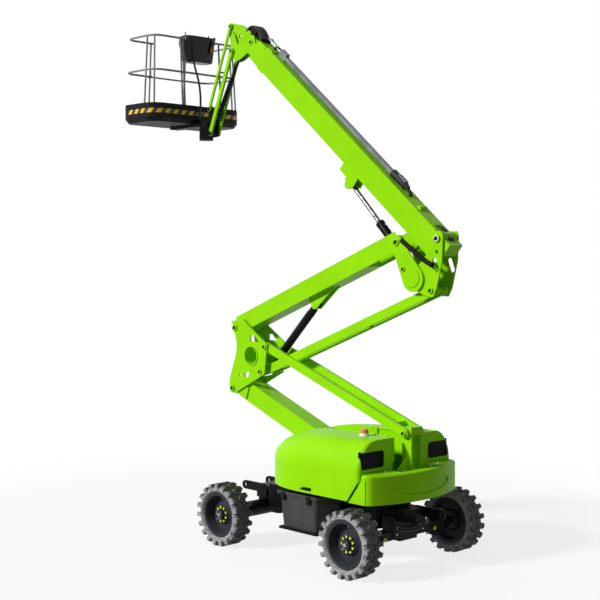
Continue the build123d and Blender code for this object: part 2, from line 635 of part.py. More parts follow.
# riser boom: a box that ends in a fork at the top knuckle, with the cylinder's lugs below
FORK = 900.0
FORK_LOW = 620.0
FORK_WALL = 9.0
LUG_Y = 58.0
with BuildPart() as boom_riser:
    with BuildSketch(Plane.XZ):
        with Locations(turn(middle(RISER_ROOT, RISER_TIP), 0, 25, -Q0)):
            Rectangle(RISER_LEN - 40, RISER_H, rotation=-Q0)
        with Locations(RISER_ROOT, RISER_TIP):
            Circle(92)
    extrude(amount=BOOM_HALF, both=True)
    with BuildSketch(Plane.XZ):
        with Locations(turn(RISER_TIP, FORK / 2 - 200, 25 + RISER_H / 2, -Q0)):
            Rectangle(FORK + 400, RISER_H + 4, rotation=-Q0)
        with Locations(turn(RISER_TIP, FORK_LOW / 2 - 200, 0, -Q0)):
            Rectangle(FORK_LOW + 400, 2 * RISER_H, rotation=-Q0)
    extrude(amount=BOOM_HALF - FORK_WALL, both=True, mode=Mode.SUBTRACT)
    with BuildSketch(Plane.XZ):
        with Locations(RISER_ROOT):
            Circle(92)
    extrude(amount=PLATE_Y - 6, both=True)
    with BuildSketch(side(PLATE_Y - 6)):
        with Locations(RISER_TIP):
            Circle(92)
    extrude(amount=PLATE_Y - 6 - BOOM_HALF + FORK_WALL)
    mirror(about=Plane.XZ)
    with BuildSketch(Plane.XZ):
        with Locations(RISER_ROOT, RISER_TIP):
            Circle(40 + FIT)
    extrude(amount=400, both=True, mode=Mode.SUBTRACT)
    with BuildSketch(side(LUG_Y)):
        with Locations(RISER_EYE):
            Circle(58)
        with BuildLine():
            Polyline(turn(RISER_EYE, 58, 0, -Q0), turn(RISER_EYE, 70, 150, -Q0),
                     turn(RISER_EYE, -470, 150, -Q0), turn(RISER_EYE, -430, 90, -Q0),
                     turn(RISER_EYE, -20, -54, -Q0), close=True)
        make_face()
    extrude(amount=20)
    mirror(about=Plane.XZ)
    with BuildSketch(Plane.XZ):
        with Locations(RISER_EYE):
            Circle(26)
    extrude(amount=LUG_Y + 4, both=True)
boom_riser.part.label = "boom_riser"
export_step(boom_riser.part, "parts/boom_riser.step")

# riser link: twin rails between the lower link's rails
with BuildPart() as link_riser:
    with BuildSketch(side(TIE_Y + TIE_T / 2)):
        with Locations(middle(TIE_ROOT, TIE_TIP)):
            Rectangle(RISER_LEN, LINK_H, rotation=-Q0)
        with Locations(TIE_ROOT, TIE_TIP):
            Circle(LINK_H / 2)
        with Locations(TIE_ROOT, TIE_TIP):
            Circle(32 + FIT, mode=Mode.SUBTRACT)
    extrude(amount=TIE_T)
    mirror(about=Plane.XZ)
    for s in (300, 1300):
        with BuildSketch(Plane.XZ):
            with Locations(turn(TIE_TIP, s, 0, -Q0)):
                Circle(35)
        extrude(amount=TIE_Y, both=True)
link_riser.part.label = "link_riser"
export_step(link_riser.part, "parts/link_riser.step")

# top knuckle: a leg down from the riser each side, drums, uprights for the main boom and the pins
UPRIGHT_Y = 158.0
UPRIGHT_T = 18.0
DRUM_IN = 110.0
LEG_LEN, LEG_ANGLE = span(RISER_TIP, TOP_TUBE)
with BuildPart() as knuckle_top:
    with BuildSketch(side(PLATE_Y + PLATE_T)):
        with BuildLine():
            Polyline(turn(RISER_TIP, 0, 90, LEG_ANGLE), turn(RISER_TIP, 0, -90, LEG_ANGLE),
                     turn(RISER_TIP, LEG_LEN, -166, LEG_ANGLE), turn(RISER_TIP, LEG_LEN, 166, LEG_ANGLE),
                     close=True)
        make_face()
        with Locations(RISER_TIP):
            Circle(90)
        with Locations(TOP_TUBE):
            Circle(166)
    extrude(amount=PLATE_T)
    mirror(about=Plane.XZ)
    with BuildSketch(side(PLATE_Y + 4)):
        with Locations(TOP_TUBE):
            Circle(150)
    extrude(amount=PLATE_Y + 4 - DRUM_IN)
    mirror(about=Plane.XZ)
    with BuildSketch(Plane.XZ):
        with Locations(TOP_TUBE):
            Circle(90)
    extrude(amount=PLATE_Y, both=True)
    with BuildSketch(side(UPRIGHT_Y)):
        with BuildLine():
            Polyline((MAIN_PIN[0] + 85, MAIN_PIN[1] + 50), (MAIN_PIN[0] + 40, MAIN_PIN[1] + 92),
                     (MAIN_PIN[0] - 55, MAIN_PIN[1] + 92), (MAIN_PIN[0] - 90, MAIN_PIN[1] + 40),
                     (MAIN_PIN[0] - 75, MAIN_PIN[1] - 280), (TIE_TIP[0] - 88, TIE_TIP[1] + 20),
                     (TIE_TIP[0] - 30, TIE_TIP[1] - 82), (TIE_TIP[0] + 60, TIE_TIP[1] - 82),
                     (TOP_TUBE[0] + 40, TOP_TUBE[1] - 120), (TOP_TUBE[0] + 20, TOP_TUBE[1] + 70),
                     (MAIN_PIN[0] + 175, MAIN_PIN[1] - 200), close=True)
        make_face()
        with Locations((MAIN_PIN[0] + 6, MAIN_PIN[1] - 165)):
            Circle(24, mode=Mode.SUBTRACT)
        with Locations((MAIN_PIN[0] + 20, MAIN_PIN[1] - 330)):
            SlotOverall(190, 70, rotation=70, mode=Mode.SUBTRACT)
    extrude(amount=UPRIGHT_T)
    mirror(about=Plane.XZ)
    with BuildSketch(side(PLATE_Y + PLATE_T + 16)):
        with Locations(RISER_TIP):
            Circle(40)
    extrude(amount=PLATE_T + 16 + PLATE_Y - BOOM_HALF + FORK_WALL)
    mirror(about=Plane.XZ)
    for pin, r, half in ((TIE_TIP, 32, UPRIGHT_Y + 20), (MAIN_PIN, 40, UPRIGHT_Y + 22),
                         (LIFT_FOOT, 28, PLATE_Y + PLATE_T + 16)):
        with BuildSketch(Plane.XZ):
            with Locations(pin):
                Circle(r)
        extrude(amount=half, both=True)
knuckle_top.part.label = "knuckle_top"
export_step(knuckle_top.part, "parts/knuckle_top.step")

# main boom: outer box with the pivot boss and the lift rod's lugs
MAIN_MID = turn(MAIN_PIN, (MAIN_LEN - 190) / 2, -PIVOT_UP, BETA)
WALL = 14.0
with BuildPart() as main_boom:
    with BuildSketch(Plane.XZ):
        with Locations(MAIN_MID):
            Rectangle(MAIN_LEN + 190, MAIN_H, rotation=BETA)
        with Locations(MAIN_PIN):
            Circle(85)
        with Locations(turn(MAIN_PIN, -190, -PIVOT_UP - MAIN_H / 2, BETA)):
            Rectangle(360, 260, rotation=BETA + 30, mode=Mode.SUBTRACT)
    extrude(amount=MAIN_W / 2, both=True)
    with BuildSketch(Plane.XZ):
        with Locations(turn(MAIN_PIN, 260 + MAIN_LEN / 2 + 100, -PIVOT_UP, BETA)):
            Rectangle(MAIN_LEN + 200, MAIN_H - 2 * WALL, rotation=BETA)
    extrude(amount=MAIN_W / 2 - WALL, both=True, mode=Mode.SUBTRACT)
    with BuildSketch(Plane.XZ):
        with Locations(MAIN_PIN):
            Circle(85)
    extrude(amount=UPRIGHT_Y - UPRIGHT_T - 6, both=True)
    with BuildSketch(Plane.XZ):
        with Locations(MAIN_PIN):
            Circle(40 + FIT)
    extrude(amount=400, both=True, mode=Mode.SUBTRACT)
    with BuildSketch(side(84)):
        with Locations(LIFT_EYE):
            Circle(62)
        with Locations(turn(LIFT_EYE, 0, 100, BETA)):
            Rectangle(180, 190, rotation=BETA)
        with Locations(turn(LIFT_EYE, 130, 120, BETA)):
            Rectangle(240, 130, rotation=BETA)
    extrude(amount=24)
    mirror(about=Plane.XZ)
    with BuildSketch(Plane.XZ):
        with Locations(turn(MAIN_PIN, MAIN_LEN - 60, -PIVOT_UP, BETA)):
            Rectangle(120, MAIN_H + 30, rotation=BETA)
            Rectangle(130, MAIN_H - 2 * WALL, rotation=BETA, mode=Mode.SUBTRACT)
    extrude(amount=MAIN_W / 2, both=True)
main_boom.part.label = "main_boom"
export_step(main_boom.part, "parts/main_boom.step")

# hose tube and its end fittings along the main boom's top
with BuildPart() as hose_tube:
    with BuildSketch(Plane.XZ):
        with Locations(turn(MAIN_PIN, MAIN_LEN / 2 + 400, -PIVOT_UP + MAIN_H / 2 + 45, BETA)):
            Rectangle(MAIN_LEN - 1300, 44, rotation=BETA)
        for s in (1020, MAIN_LEN - 230):
            with Locations(turn(MAIN_PIN, s, -PIVOT_UP + MAIN_H / 2 + 51.5, BETA)):
                Rectangle(150, 102, rotation=BETA)
    extrude(amount=35, both=True)
hose_tube.part.label = "hose_tube"
export_step(hose_tube.part, "parts/hose_tube.step")

# inner boom, sliding in the outer on pads, with the tip's bored boss
INNER_H = MAIN_H - 2 * WALL - 16
INNER_W = MAIN_W - 2 * WALL - 16
with BuildPart() as inner_boom:
    with BuildSketch(Plane.XZ):
        with Locations(turn(MAIN_PIN, (INNER_TIP - 190 + 500) / 2, -PIVOT_UP, BETA)):
            Rectangle(INNER_TIP - 190 - 500, INNER_H, rotation=BETA)
    extrude(amount=INNER_W / 2, both=True)
    with BuildSketch(Plane.XZ):
        with Locations(turn(MAIN_PIN, (INNER_TIP + 560) / 2 - 150, -PIVOT_UP, BETA)):
            Rectangle(INNER_TIP - 560 - 300, INNER_H - 20, rotation=BETA)
    extrude(amount=INNER_W / 2 - 10, both=True, mode=Mode.SUBTRACT)
    with BuildSketch(Plane.XZ):
        with Locations(HEAD_PIN):
            Circle(80)
        with Locations(turn(HEAD_PIN, -140, 0, BETA)):
            Rectangle(280, 160, rotation=BETA)
    extrude(amount=HEAD_Y - HEAD_T - 6, both=True)
    with BuildSketch(Plane.XZ):
        with Locations(HEAD_PIN):
            Circle(30 + FIT)
    extrude(amount=400, both=True, mode=Mode.SUBTRACT)
    with BuildSketch(Plane.XZ):
        with Locations(turn(MAIN_PIN, 560, -PIVOT_UP, BETA)):
            Rectangle(120, MAIN_H - 2 * WALL - 2 * SEAT, rotation=BETA)
    extrude(amount=MAIN_W / 2 - WALL - SEAT, both=True)
inner_boom.part.label = "inner_boom"
export_step(inner_boom.part, "parts/inner_boom.step")

# levelled head: pierced plates from the boom's tip to the jib's two pins
ARM_OUT = ARM_Y + ARM_T / 2
with BuildPart() as jib_head:
    with BuildSketch(side(HEAD_Y)):
        with BuildLine():
            Polyline((HEAD_PIN[0] - 100, HEAD_PIN[1] - 70), (HEAD_PIN[0] - 60, HEAD_PIN[1] + 110),
                     (HEAD_PIN[0] + 82, HEAD_PIN[1] + 190), (HEAD_PIN[0] + 289, HEAD_PIN[1] + 290),
                     (TIE_TOP[0] + 10, TIE_TOP[1] + 48), (TIE_TOP[0] + 48, TIE_TOP[1] - 10),
                     (JIB_TOP[0] + 50, JIB_TOP[1] + 20), (JIB_TOP[0] + 30, JIB_TOP[1] - 45),
                     (JIB_EYE[0] + 40, JIB_EYE[1] - 55), (JIB_EYE[0] - 50, JIB_EYE[1] - 40), close=True)
        make_face()
        with Locations((HEAD_PIN[0] + 330, HEAD_PIN[1] + 125)):
            SlotOverall(250, 38, rotation=66, mode=Mode.SUBTRACT)
        with Locations((HEAD_PIN[0] + 232, HEAD_PIN[1] + 108)):
            Circle(28, mode=Mode.SUBTRACT)
    extrude(amount=HEAD_T)
    mirror(about=Plane.XZ)
    for pin, r, half in ((HEAD_PIN, 30, HEAD_Y + 12), (JIB_TOP, 26, ARM_OUT + 10),
                         (TIE_TOP, 22, ARM_OUT + 6)):
        with BuildSketch(Plane.XZ):
            with Locations(pin):
                Circle(r)
        extrude(amount=half, both=True)
jib_head.part.label = "jib_head"
export_step(jib_head.part, "parts/jib_head.step")

# jib arms: two box tubes joined by the cylinder's pin
with BuildPart() as jib_arms:
    with BuildSketch(side(ARM_OUT)):
        with Locations(middle(JIB_TOP, JIB_END)):
            Rectangle(JIB_LEN, JIB_TUBE, rotation=JIB_ANGLE)
        with Locations(JIB_TOP, JIB_END):
            Circle(JIB_TUBE / 2 + 6)
        with Locations(JIB_TOP, JIB_END):
            Circle(26 + FIT, mode=Mode.SUBTRACT)
    extrude(amount=ARM_T)
    mirror(about=Plane.XZ)
    with BuildSketch(Plane.XZ):
        with Locations(JIB_FOOT):
            Circle(22)
    extrude(amount=ARM_Y, both=True)
jib_arms.part.label = "jib_arms"
export_step(jib_arms.part, "parts/jib_arms.step")

# jib tie rods, a pair that keeps the platform level
with BuildPart() as jib_tie:
    with BuildSketch(side(ARM_Y + TIE_ROD_T / 2)):
        with Locations(middle(TIE_TOP, TIE_END)):
            Rectangle(JIB_LEN, 44, rotation=JIB_ANGLE)
        with Locations(TIE_TOP, TIE_END):
            Circle(36)
        with Locations(TIE_TOP, TIE_END):
            Circle(22 + FIT, mode=Mode.SUBTRACT)
    extrude(amount=TIE_ROD_T)
    mirror(about=Plane.XZ)
    with BuildSketch(Plane.XZ):
        with Locations(turn(TIE_TOP, 0.55 * JIB_LEN, 0, JIB_ANGLE)):
            Circle(14)
    extrude(amount=ARM_Y, both=True)
jib_tie.part.label = "jib_tie"
export_step(jib_tie.part, "parts/jib_tie.step")

# foot of the jib: bracket on the two lower pins and the rotator's housing
ROT_R = 105.0
with BuildPart() as jib_foot:
    with BuildSketch(side(HEAD_Y)):
        with BuildLine():
            Polyline((TIE_END[0] - 42, TIE_END[1] + 42), (TIE_END[0] + 42, TIE_END[1] + 42),
                     (JIB_END[0] + 60, JIB_END[1] + 110), (TURN_X, JIB_END[1] + 100),
                     (TURN_X, JIB_END[1] - 60), (JIB_END[0] - 40, JIB_END[1] - 45), close=True)
        make_face()
    extrude(amount=HEAD_T)
    mirror(about=Plane.XZ)
    for pin, r, half in ((JIB_END, 26, ARM_OUT + 10), (TIE_END, 22, ARM_OUT + 6)):
        with BuildSketch(Plane.XZ):
            with Locations(pin):
                Circle(r)
        extrude(amount=half, both=True)
    with Locations((TURN_X, 0, (JIB_END[1] - 93 + PLAT_Z0 - 44 - SEAT) / 2)):
        Cylinder(ROT_R, PLAT_Z0 - 44 - SEAT - JIB_END[1] + 93)
jib_foot.part.label = "jib_foot"
export_step(jib_foot.part, "parts/jib_foot.step")

# platform base: moulded tub with a tapered underside, on the rotator's arm
with BuildPart() as platform_base:
    with BuildSketch(Plane.XY.offset(PLAT_Z0 + 60)):
        with Locations((PLAT_X, 0)):
            RectangleRounded(PLAT_D, PLAT_W, PLAT_R)
    extrude(amount=PLAT_H - 60)
    with BuildSketch(Plane.XY.offset(PLAT_Z0 + 60)):
        with Locations((PLAT_X, 0)):
            RectangleRounded(PLAT_D, PLAT_W, PLAT_R)
    extrude(amount=-60, taper=40)
    with BuildSketch(Plane.XY.offset(PLAT_Z0 + PLAT_FLOOR)):
        with Locations((PLAT_X, 0)):
            RectangleRounded(PLAT_D - 2 * PLAT_RIM, PLAT_W - 2 * PLAT_RIM, PLAT_R - PLAT_RIM)
    extrude(amount=PLAT_H, mode=Mode.SUBTRACT)
    with Locations(((TURN_X + PLAT_X + 200) / 2, 0, PLAT_Z0 - 14)):
        Box(PLAT_X + 200 - TURN_X, 160, 60)
    with Locations((TURN_X, 0, PLAT_Z0 - 14)):
        Cylinder(ROT_R, 60)
platform_base.part.label = "platform_base"
export_step(platform_base.part, "parts/platform_base.step")

# guard rails: top and middle hoops on posts that lean in, with the entry open at the far side
BASE_TOP = PLAT_Z0 + PLAT_H
RAIL_Z = BASE_TOP + RAIL_H - 150
MID_Z = BASE_TOP + 0.43 * RAIL_H
GATE = 300.0


def inset(z):
    """Distance of the rails' centre line in from the base's edge at a height."""
    return PLAT_RIM / 2 + RAIL_LEAN * (z - BASE_TOP) / (RAIL_Z - BASE_TOP)


def on_hoop(where, d):
    """Plan point of a post on the hoop that lies a distance d inside the base's edge."""
    kind, s, y = where
    if kind == "gate":
        return PLAT_X0 + PLAT_D - d, s * (GATE + 40)
    if kind == "near":
        return PLAT_X0 + d, y
    angle = radians(y)
    r = PLAT_R - d
    return PLAT_X0 + PLAT_R - r * cos(angle), s * (PLAT_W / 2 - PLAT_R + r * sin(angle))


POSTS = (("gate", 1, 0), ("gate", -1, 0), ("corner", 1, 90), ("corner", -1, 90), ("corner", 1, 45),
         ("corner", -1, 45), ("near", 1, 262), ("near", 1, 306), ("near", 1, -440))
with BuildPart() as guard_rails:
    for z in (RAIL_Z, MID_Z):
        d = inset(z)
        x0, x1, y1 = PLAT_X0 + d, PLAT_X0 + PLAT_D - d, PLAT_W / 2 - d
        with BuildLine(Plane.XY.offset(z)) as hoop:
            FilletPolyline((x1, GATE), (x1, y1), (x0, y1), (x0, -y1), (x1, -y1), (x1, -GATE),
                           radius=PLAT_R - d)
        with BuildSketch(Plane(origin=hoop.line @ 0, z_dir=hoop.line % 0)):
            Circle(RAIL_R)
        sweep(path=hoop.line)
    for where in POSTS:
        foot = Vector(*on_hoop(where, inset(BASE_TOP - RAIL_R)), BASE_TOP - RAIL_R)
        head = Vector(*on_hoop(where, inset(RAIL_Z)), RAIL_Z)
        with BuildSketch(Plane(origin=foot, z_dir=head - foot)):
            Circle(POST_R)
        extrude(amount=(head - foot).length)
    with BuildSketch(Plane.XY.offset(BASE_TOP)):
        with Locations((PLAT_X, 0)):
            Rectangle(PLAT_D, PLAT_W)
    extrude(amount=-3 * RAIL_R, mode=Mode.SUBTRACT)
guard_rails.part.label = "guard_rails"
export_step(guard_rails.part, "parts/guard_rails.step")

# drop bar across the entry
GATE_X = PLAT_X0 + PLAT_D - inset(MID_Z) + 2 * RAIL_R - 3 + SEAT
with BuildPart() as gate_bar:
    with BuildSketch(Plane.XZ):
        with Locations((GATE_X, MID_Z)):
            Circle(RAIL_R - 3)
    extrude(amount=GATE + 70, both=True)
    for s in (-1, 1):
        with Locations((GATE_X, s * (GATE + 8), MID_Z + 40)):
            Box(20, 20, 110)
gate_bar.part.label = "gate_bar"
export_step(gate_bar.part, "parts/gate_bar.step")

# control console: a tub clamped round the near top rail
CONSOLE_Y = -86.0
CONSOLE_HALF = 300.0
CONSOLE_X = PLAT_X0 + inset(RAIL_Z)
with BuildPart() as console:
    with BuildSketch(Plane.XZ.offset(-CONSOLE_Y)):
        with BuildLine():
            Polyline((CONSOLE_X - 62, RAIL_Z - 60), (CONSOLE_X - 62, RAIL_Z + 40),
                     (CONSOLE_X + 40, RAIL_Z + 62), (CONSOLE_X + 225, RAIL_Z - 10),
                     (CONSOLE_X + 225, RAIL_Z - 190), (CONSOLE_X + 90, RAIL_Z - 330),
                     (CONSOLE_X - 30, RAIL_Z - 330), close=True)
        make_face()
    extrude(amount=CONSOLE_HALF, both=True)
    ends = console.faces().sort_by(Axis.Y)
    fillet(ends[0].edges() + ends[-1].edges(), 45)
    with BuildSketch(Plane.XZ):
        with Locations((CONSOLE_X, RAIL_Z)):
            Circle(RAIL_R + SEAT)
    extrude(amount=1000, both=True, mode=Mode.SUBTRACT)
console.part.label = "console"
export_step(console.part, "parts/console.step")

# lift cylinders: each barrel turns on a pin, each rod ends in an eye between lugs or stubs


def axis_plane(p, q, s):
    """Plane across the line from p to q in the side view, a distance s along it."""
    length, angle = span(p, q)
    x, z = turn(p, s, 0, angle)
    return Plane(origin=(x, 0, z), x_dir=(0, 1, 0), z_dir=(cos(radians(angle)), 0, sin(radians(angle))))


RISER_BARREL = 1100.0
RISER_ROD = 930.0
RISER_EYE_HALF = 32.0
with BuildPart() as riser_barrel:
    with BuildSketch(Plane.XZ):
        with Locations(RISER_EYE):
            Circle(56)
    extrude(amount=RISER_EYE_HALF, both=True)
    with BuildSketch(axis_plane(RISER_EYE, TIE_ROOT, 80)):
        Circle(53)
    extrude(amount=RISER_BARREL - 80)
    with BuildSketch(axis_plane(RISER_EYE, TIE_ROOT, 30)):
        Circle(RISER_EYE_HALF - 2)
    extrude(amount=80)
    with BuildSketch(axis_plane(RISER_EYE, TIE_ROOT, 150)):
        Circle(38)
    extrude(amount=RISER_BARREL - 200, mode=Mode.SUBTRACT)
    with BuildSketch(axis_plane(RISER_EYE, TIE_ROOT, 150)):
        Circle(30 + FIT)
    extrude(amount=RISER_BARREL, mode=Mode.SUBTRACT)
    with BuildSketch(Plane.XZ):
        with Locations(RISER_EYE):
            Circle(26 + FIT)
    extrude(amount=200, both=True, mode=Mode.SUBTRACT)
riser_barrel.part.label = "riser_barrel"
export_step(riser_barrel.part, "parts/riser_barrel.step")
with BuildPart() as riser_rod:
    with BuildSketch(axis_plane(TIE_ROOT, RISER_EYE, 0)):
        Circle(30)
    extrude(amount=RISER_ROD)
    with BuildSketch(Plane.XZ):
        with Locations(TIE_ROOT):
            Circle(48)
    extrude(amount=STUB_IN - 6, both=True)
riser_rod.part.label = "riser_rod"
export_step(riser_rod.part, "parts/riser_rod.step")

LIFT_BARREL = 820.0
LIFT_ROD = 1190.0
with BuildPart() as lift_barrel:
    with BuildSketch(Plane.XZ):
        with Locations(LIFT_FOOT):
            Circle(62)
    extrude(amount=56, both=True)
    with BuildSketch(axis_plane(LIFT_FOOT, LIFT_EYE, 0)):
        Circle(58)
    extrude(amount=LIFT_BARREL)
    with BuildSketch(axis_plane(LIFT_FOOT, LIFT_EYE, 90)):
        Circle(44)
    extrude(amount=LIFT_BARREL - 140, mode=Mode.SUBTRACT)
    with BuildSketch(axis_plane(LIFT_FOOT, LIFT_EYE, 90)):
        Circle(32 + FIT)
    extrude(amount=LIFT_BARREL, mode=Mode.SUBTRACT)
    with BuildSketch(Plane.XZ):
        with Locations(LIFT_FOOT):
            Circle(28 + FIT)
    extrude(amount=200, both=True, mode=Mode.SUBTRACT)
lift_barrel.part.label = "lift_barrel"
export_step(lift_barrel.part, "parts/lift_barrel.step")
with BuildPart() as lift_rod:
    with BuildSketch(axis_plane(LIFT_EYE, LIFT_FOOT, 0)):
        Circle(32)
    extrude(amount=LIFT_ROD)
    with BuildSketch(Plane.XZ):
        with Locations(LIFT_EYE):
            Circle(52)
    extrude(amount=50, both=True)
lift_rod.part.label = "lift_rod"
export_step(lift_rod.part, "parts/lift_rod.step")

JIB_BARREL = 620.0
JIB_ROD = 540.0
with BuildPart() as jib_barrel:
    with BuildSketch(Plane.XZ):
        with Locations(JIB_FOOT):
            Circle(40)
    extrude(amount=34, both=True)
    with BuildSketch(axis_plane(JIB_FOOT, JIB_EYE, 0)):
        Circle(34)
    extrude(amount=JIB_BARREL)
    with BuildSketch(axis_plane(JIB_FOOT, JIB_EYE, 70)):
        Circle(26)
    extrude(amount=JIB_BARREL - 110, mode=Mode.SUBTRACT)
    with BuildSketch(axis_plane(JIB_FOOT, JIB_EYE, 70)):
        Circle(20 + FIT)
    extrude(amount=JIB_BARREL, mode=Mode.SUBTRACT)
    with BuildSketch(Plane.XZ):
        with Locations(JIB_FOOT):
            Circle(22 + FIT)
    extrude(amount=200, both=True, mode=Mode.SUBTRACT)
jib_barrel.part.label = "jib_barrel"
export_step(jib_barrel.part, "parts/jib_barrel.step")
with BuildPart() as jib_rod:
    with BuildSketch(axis_plane(JIB_EYE, JIB_FOOT, 0)):
        Circle(20)
    extrude(amount=JIB_ROD)
    with BuildSketch(Plane.XZ):
        with Locations(JIB_EYE):
            Circle(34)
    extrude(amount=HEAD_Y - HEAD_T - 6, both=True)
jib_rod.part.label = "jib_rod"
export_step(jib_rod.part, "parts/jib_rod.step")
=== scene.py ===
"""Articulating boom lift: finishes and fine detail over its solid model."""

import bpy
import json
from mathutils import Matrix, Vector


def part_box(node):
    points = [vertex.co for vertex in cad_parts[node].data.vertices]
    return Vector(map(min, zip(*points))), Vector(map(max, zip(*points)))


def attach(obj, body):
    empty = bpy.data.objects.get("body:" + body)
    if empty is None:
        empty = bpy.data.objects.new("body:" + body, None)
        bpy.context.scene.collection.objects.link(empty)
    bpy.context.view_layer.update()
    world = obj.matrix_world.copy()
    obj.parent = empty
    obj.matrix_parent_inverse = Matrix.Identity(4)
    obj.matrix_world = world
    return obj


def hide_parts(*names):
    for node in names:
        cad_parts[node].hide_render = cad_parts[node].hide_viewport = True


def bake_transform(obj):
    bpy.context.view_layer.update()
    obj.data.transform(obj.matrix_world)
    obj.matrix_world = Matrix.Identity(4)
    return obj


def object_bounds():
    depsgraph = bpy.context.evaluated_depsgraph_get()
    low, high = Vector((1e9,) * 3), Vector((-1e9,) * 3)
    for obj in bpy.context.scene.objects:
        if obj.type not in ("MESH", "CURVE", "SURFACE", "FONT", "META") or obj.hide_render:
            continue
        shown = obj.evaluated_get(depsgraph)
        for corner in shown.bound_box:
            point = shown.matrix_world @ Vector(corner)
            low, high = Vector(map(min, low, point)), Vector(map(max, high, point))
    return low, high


bl_info = {
    "name": "Articulating boom lift",
    "version": (1, 0, 0),
    "blender": (4, 5, 0),
    "location": "View3D > Sidebar > Boom lift",
    "description": "Builds the finishes, trim, hoses and stage of a boom lift",
    "category": "Object",
}
import json
import math

import bpy
import numpy as np
from mathutils import Vector

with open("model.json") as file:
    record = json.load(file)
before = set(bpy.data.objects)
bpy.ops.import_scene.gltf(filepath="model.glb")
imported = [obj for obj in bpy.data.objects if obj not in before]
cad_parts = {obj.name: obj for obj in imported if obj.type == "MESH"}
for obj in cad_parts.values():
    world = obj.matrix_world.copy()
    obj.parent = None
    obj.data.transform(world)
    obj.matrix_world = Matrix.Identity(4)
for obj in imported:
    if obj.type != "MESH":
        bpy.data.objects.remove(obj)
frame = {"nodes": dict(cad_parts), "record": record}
CAD_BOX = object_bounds()
NODES = frame["nodes"]
JOINTS = {j["name"]: j for j in frame["record"]["behaviour"]["joints"]}
WHEELS = ("drive_left", "drive_right", "steer_left", "steer_right")
SIDES = (("left", 1), ("right", -1))
LIME_NODES = ("turret", "counterweight", "hood_left", "hood_right", "boom_lower", "link_lower", "knuckle_mid",
              "boom_riser", "link_riser", "knuckle_top", "main_boom", "inner_boom", "jib_head", "jib_arms",
              "jib_tie")


def pin(joint):
    """Rest position of a joint as an array, in metres."""
    return np.array(JOINTS[joint]["pos_m"], float)


def box(name):
    """Lowest and highest corner of a solid, as two arrays."""
    low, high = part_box(name)
    return np.array(low), np.array(high)


# finishes

TONE_STOPS = (0.35, 0.65)
ROUGH_SPAN = (0.3, 0.7)
# bands of a tyre in metres: from its middle plane, then three from its axle
SHOULDER = (0.112, 0.128)
TREAD_FACE = (0.392, 0.410)
GROOVE_TOP = (0.383, 0.396)
GROOVE_FLOOR = (0.366, 0.380)
STRIPE_LEAN = 0.32


def linear(hexa):
    """sRGB hex to linear RGBA: each channel through the sRGB curve."""
    c = np.array([int(hexa[i:i + 2], 16) for i in (1, 3, 5)]) / 255.0
    c = np.where(c <= 0.04045, c / 12.92, ((c + 0.055) / 1.055) ** 2.4)
    return (*c.tolist(), 1.0)


def shades(colour, *factors):
    """A colour made darker or lighter by each factor, kept within 0 to 1."""
    return [(*(min(1.0, c * factor) for c in colour[:3]), 1.0) for factor in factors]


def per_metre(size_mm):
    """Noise scale of a pattern whose features are so many millimetres across."""
    return 1000.0 / size_mm


def add_node(tree, kind, inputs=None, **settings):
    """Add a node, set its properties, then set or link its inputs."""
    n = tree.nodes.new(kind)
    for key, value in settings.items():
        setattr(n, key, value)
    for key, value in (inputs or {}).items():
        if isinstance(value, bpy.types.NodeSocket):
            tree.links.new(value, n.inputs[key])
        else:
            n.inputs[key].default_value = value
    return n


def finish_base(name, **sockets):
    """Empty material with a Principled shader, its sockets set, and Object coordinates."""
    mat = bpy.data.materials.new(name)
    mat.use_nodes = True
    tree = mat.node_tree
    shader = tree.nodes["Principled BSDF"]
    for key, value in sockets.items():
        shader.inputs[key.replace("_", " ")].default_value = value
    coords = add_node(tree, "ShaderNodeTexCoord").outputs["Object"]
    return mat, tree, shader, coords


def mottle(tree, coords, tones, size_mm):
    """Colour that drifts between two tones with a noise of a given feature size."""
    noise = add_node(tree, "ShaderNodeTexNoise",
                     {"Vector": coords, "Scale": per_metre(size_mm), "Detail": 4.0})
    ramp = add_node(tree, "ShaderNodeValToRGB", {"Fac": noise.outputs["Fac"]})
    for stop, place, tone in zip(ramp.color_ramp.elements, TONE_STOPS, tones):
        stop.position = place
        stop.color = linear(tone) if isinstance(tone, str) else tone
    return ramp.outputs["Color"], noise.outputs["Fac"]


def grain(tree, shader, coords, size_mm, depth, strength, soft=0.0):
    """Fine bump from a noise, over edges rounded by a small radius where one is given."""
    noise = add_node(tree, "ShaderNodeTexNoise",
                     {"Vector": coords, "Scale": per_metre(size_mm), "Detail": 3.0})
    links = {"Height": noise.outputs["Fac"], "Strength": strength, "Distance": depth}
    if soft:
        links["Normal"] = add_node(tree, "ShaderNodeBevel", {"Radius": soft}, samples=4).outputs["Normal"]
    bump = add_node(tree, "ShaderNodeBump", links)
    tree.links.new(bump.outputs["Normal"], shader.inputs["Normal"])


def rough_range(tree, shader, source, low, high):
    """Roughness between two values, following a pattern's factor."""
    m = add_node(tree, "ShaderNodeMapRange", {"Value": source, "From Min": ROUGH_SPAN[0],
                                              "From Max": ROUGH_SPAN[1], "To Min": low, "To Max": high})
    tree.links.new(m.outputs["Result"], shader.inputs["Roughness"])


def painted(name, tones, rough=(0.34, 0.48), gloss=0.1):
    """Powder coat or paint on steel: an even colour with a faint drift over half a metre.

    The orange peel is drawn 8 mm across, coarser than it is, so that it shows.
    """
    mat, tree, shader, coords = finish_base(name, Specular_IOR_Level=gloss)
    colour, fac = mottle(tree, coords, tones, 454.5)
    tree.links.new(colour, shader.inputs["Base Color"])
    rough_range(tree, shader, fac, *rough)
    grain(tree, shader, coords, 8.0, 0.0004, 0.25, 0.004)
    return mat


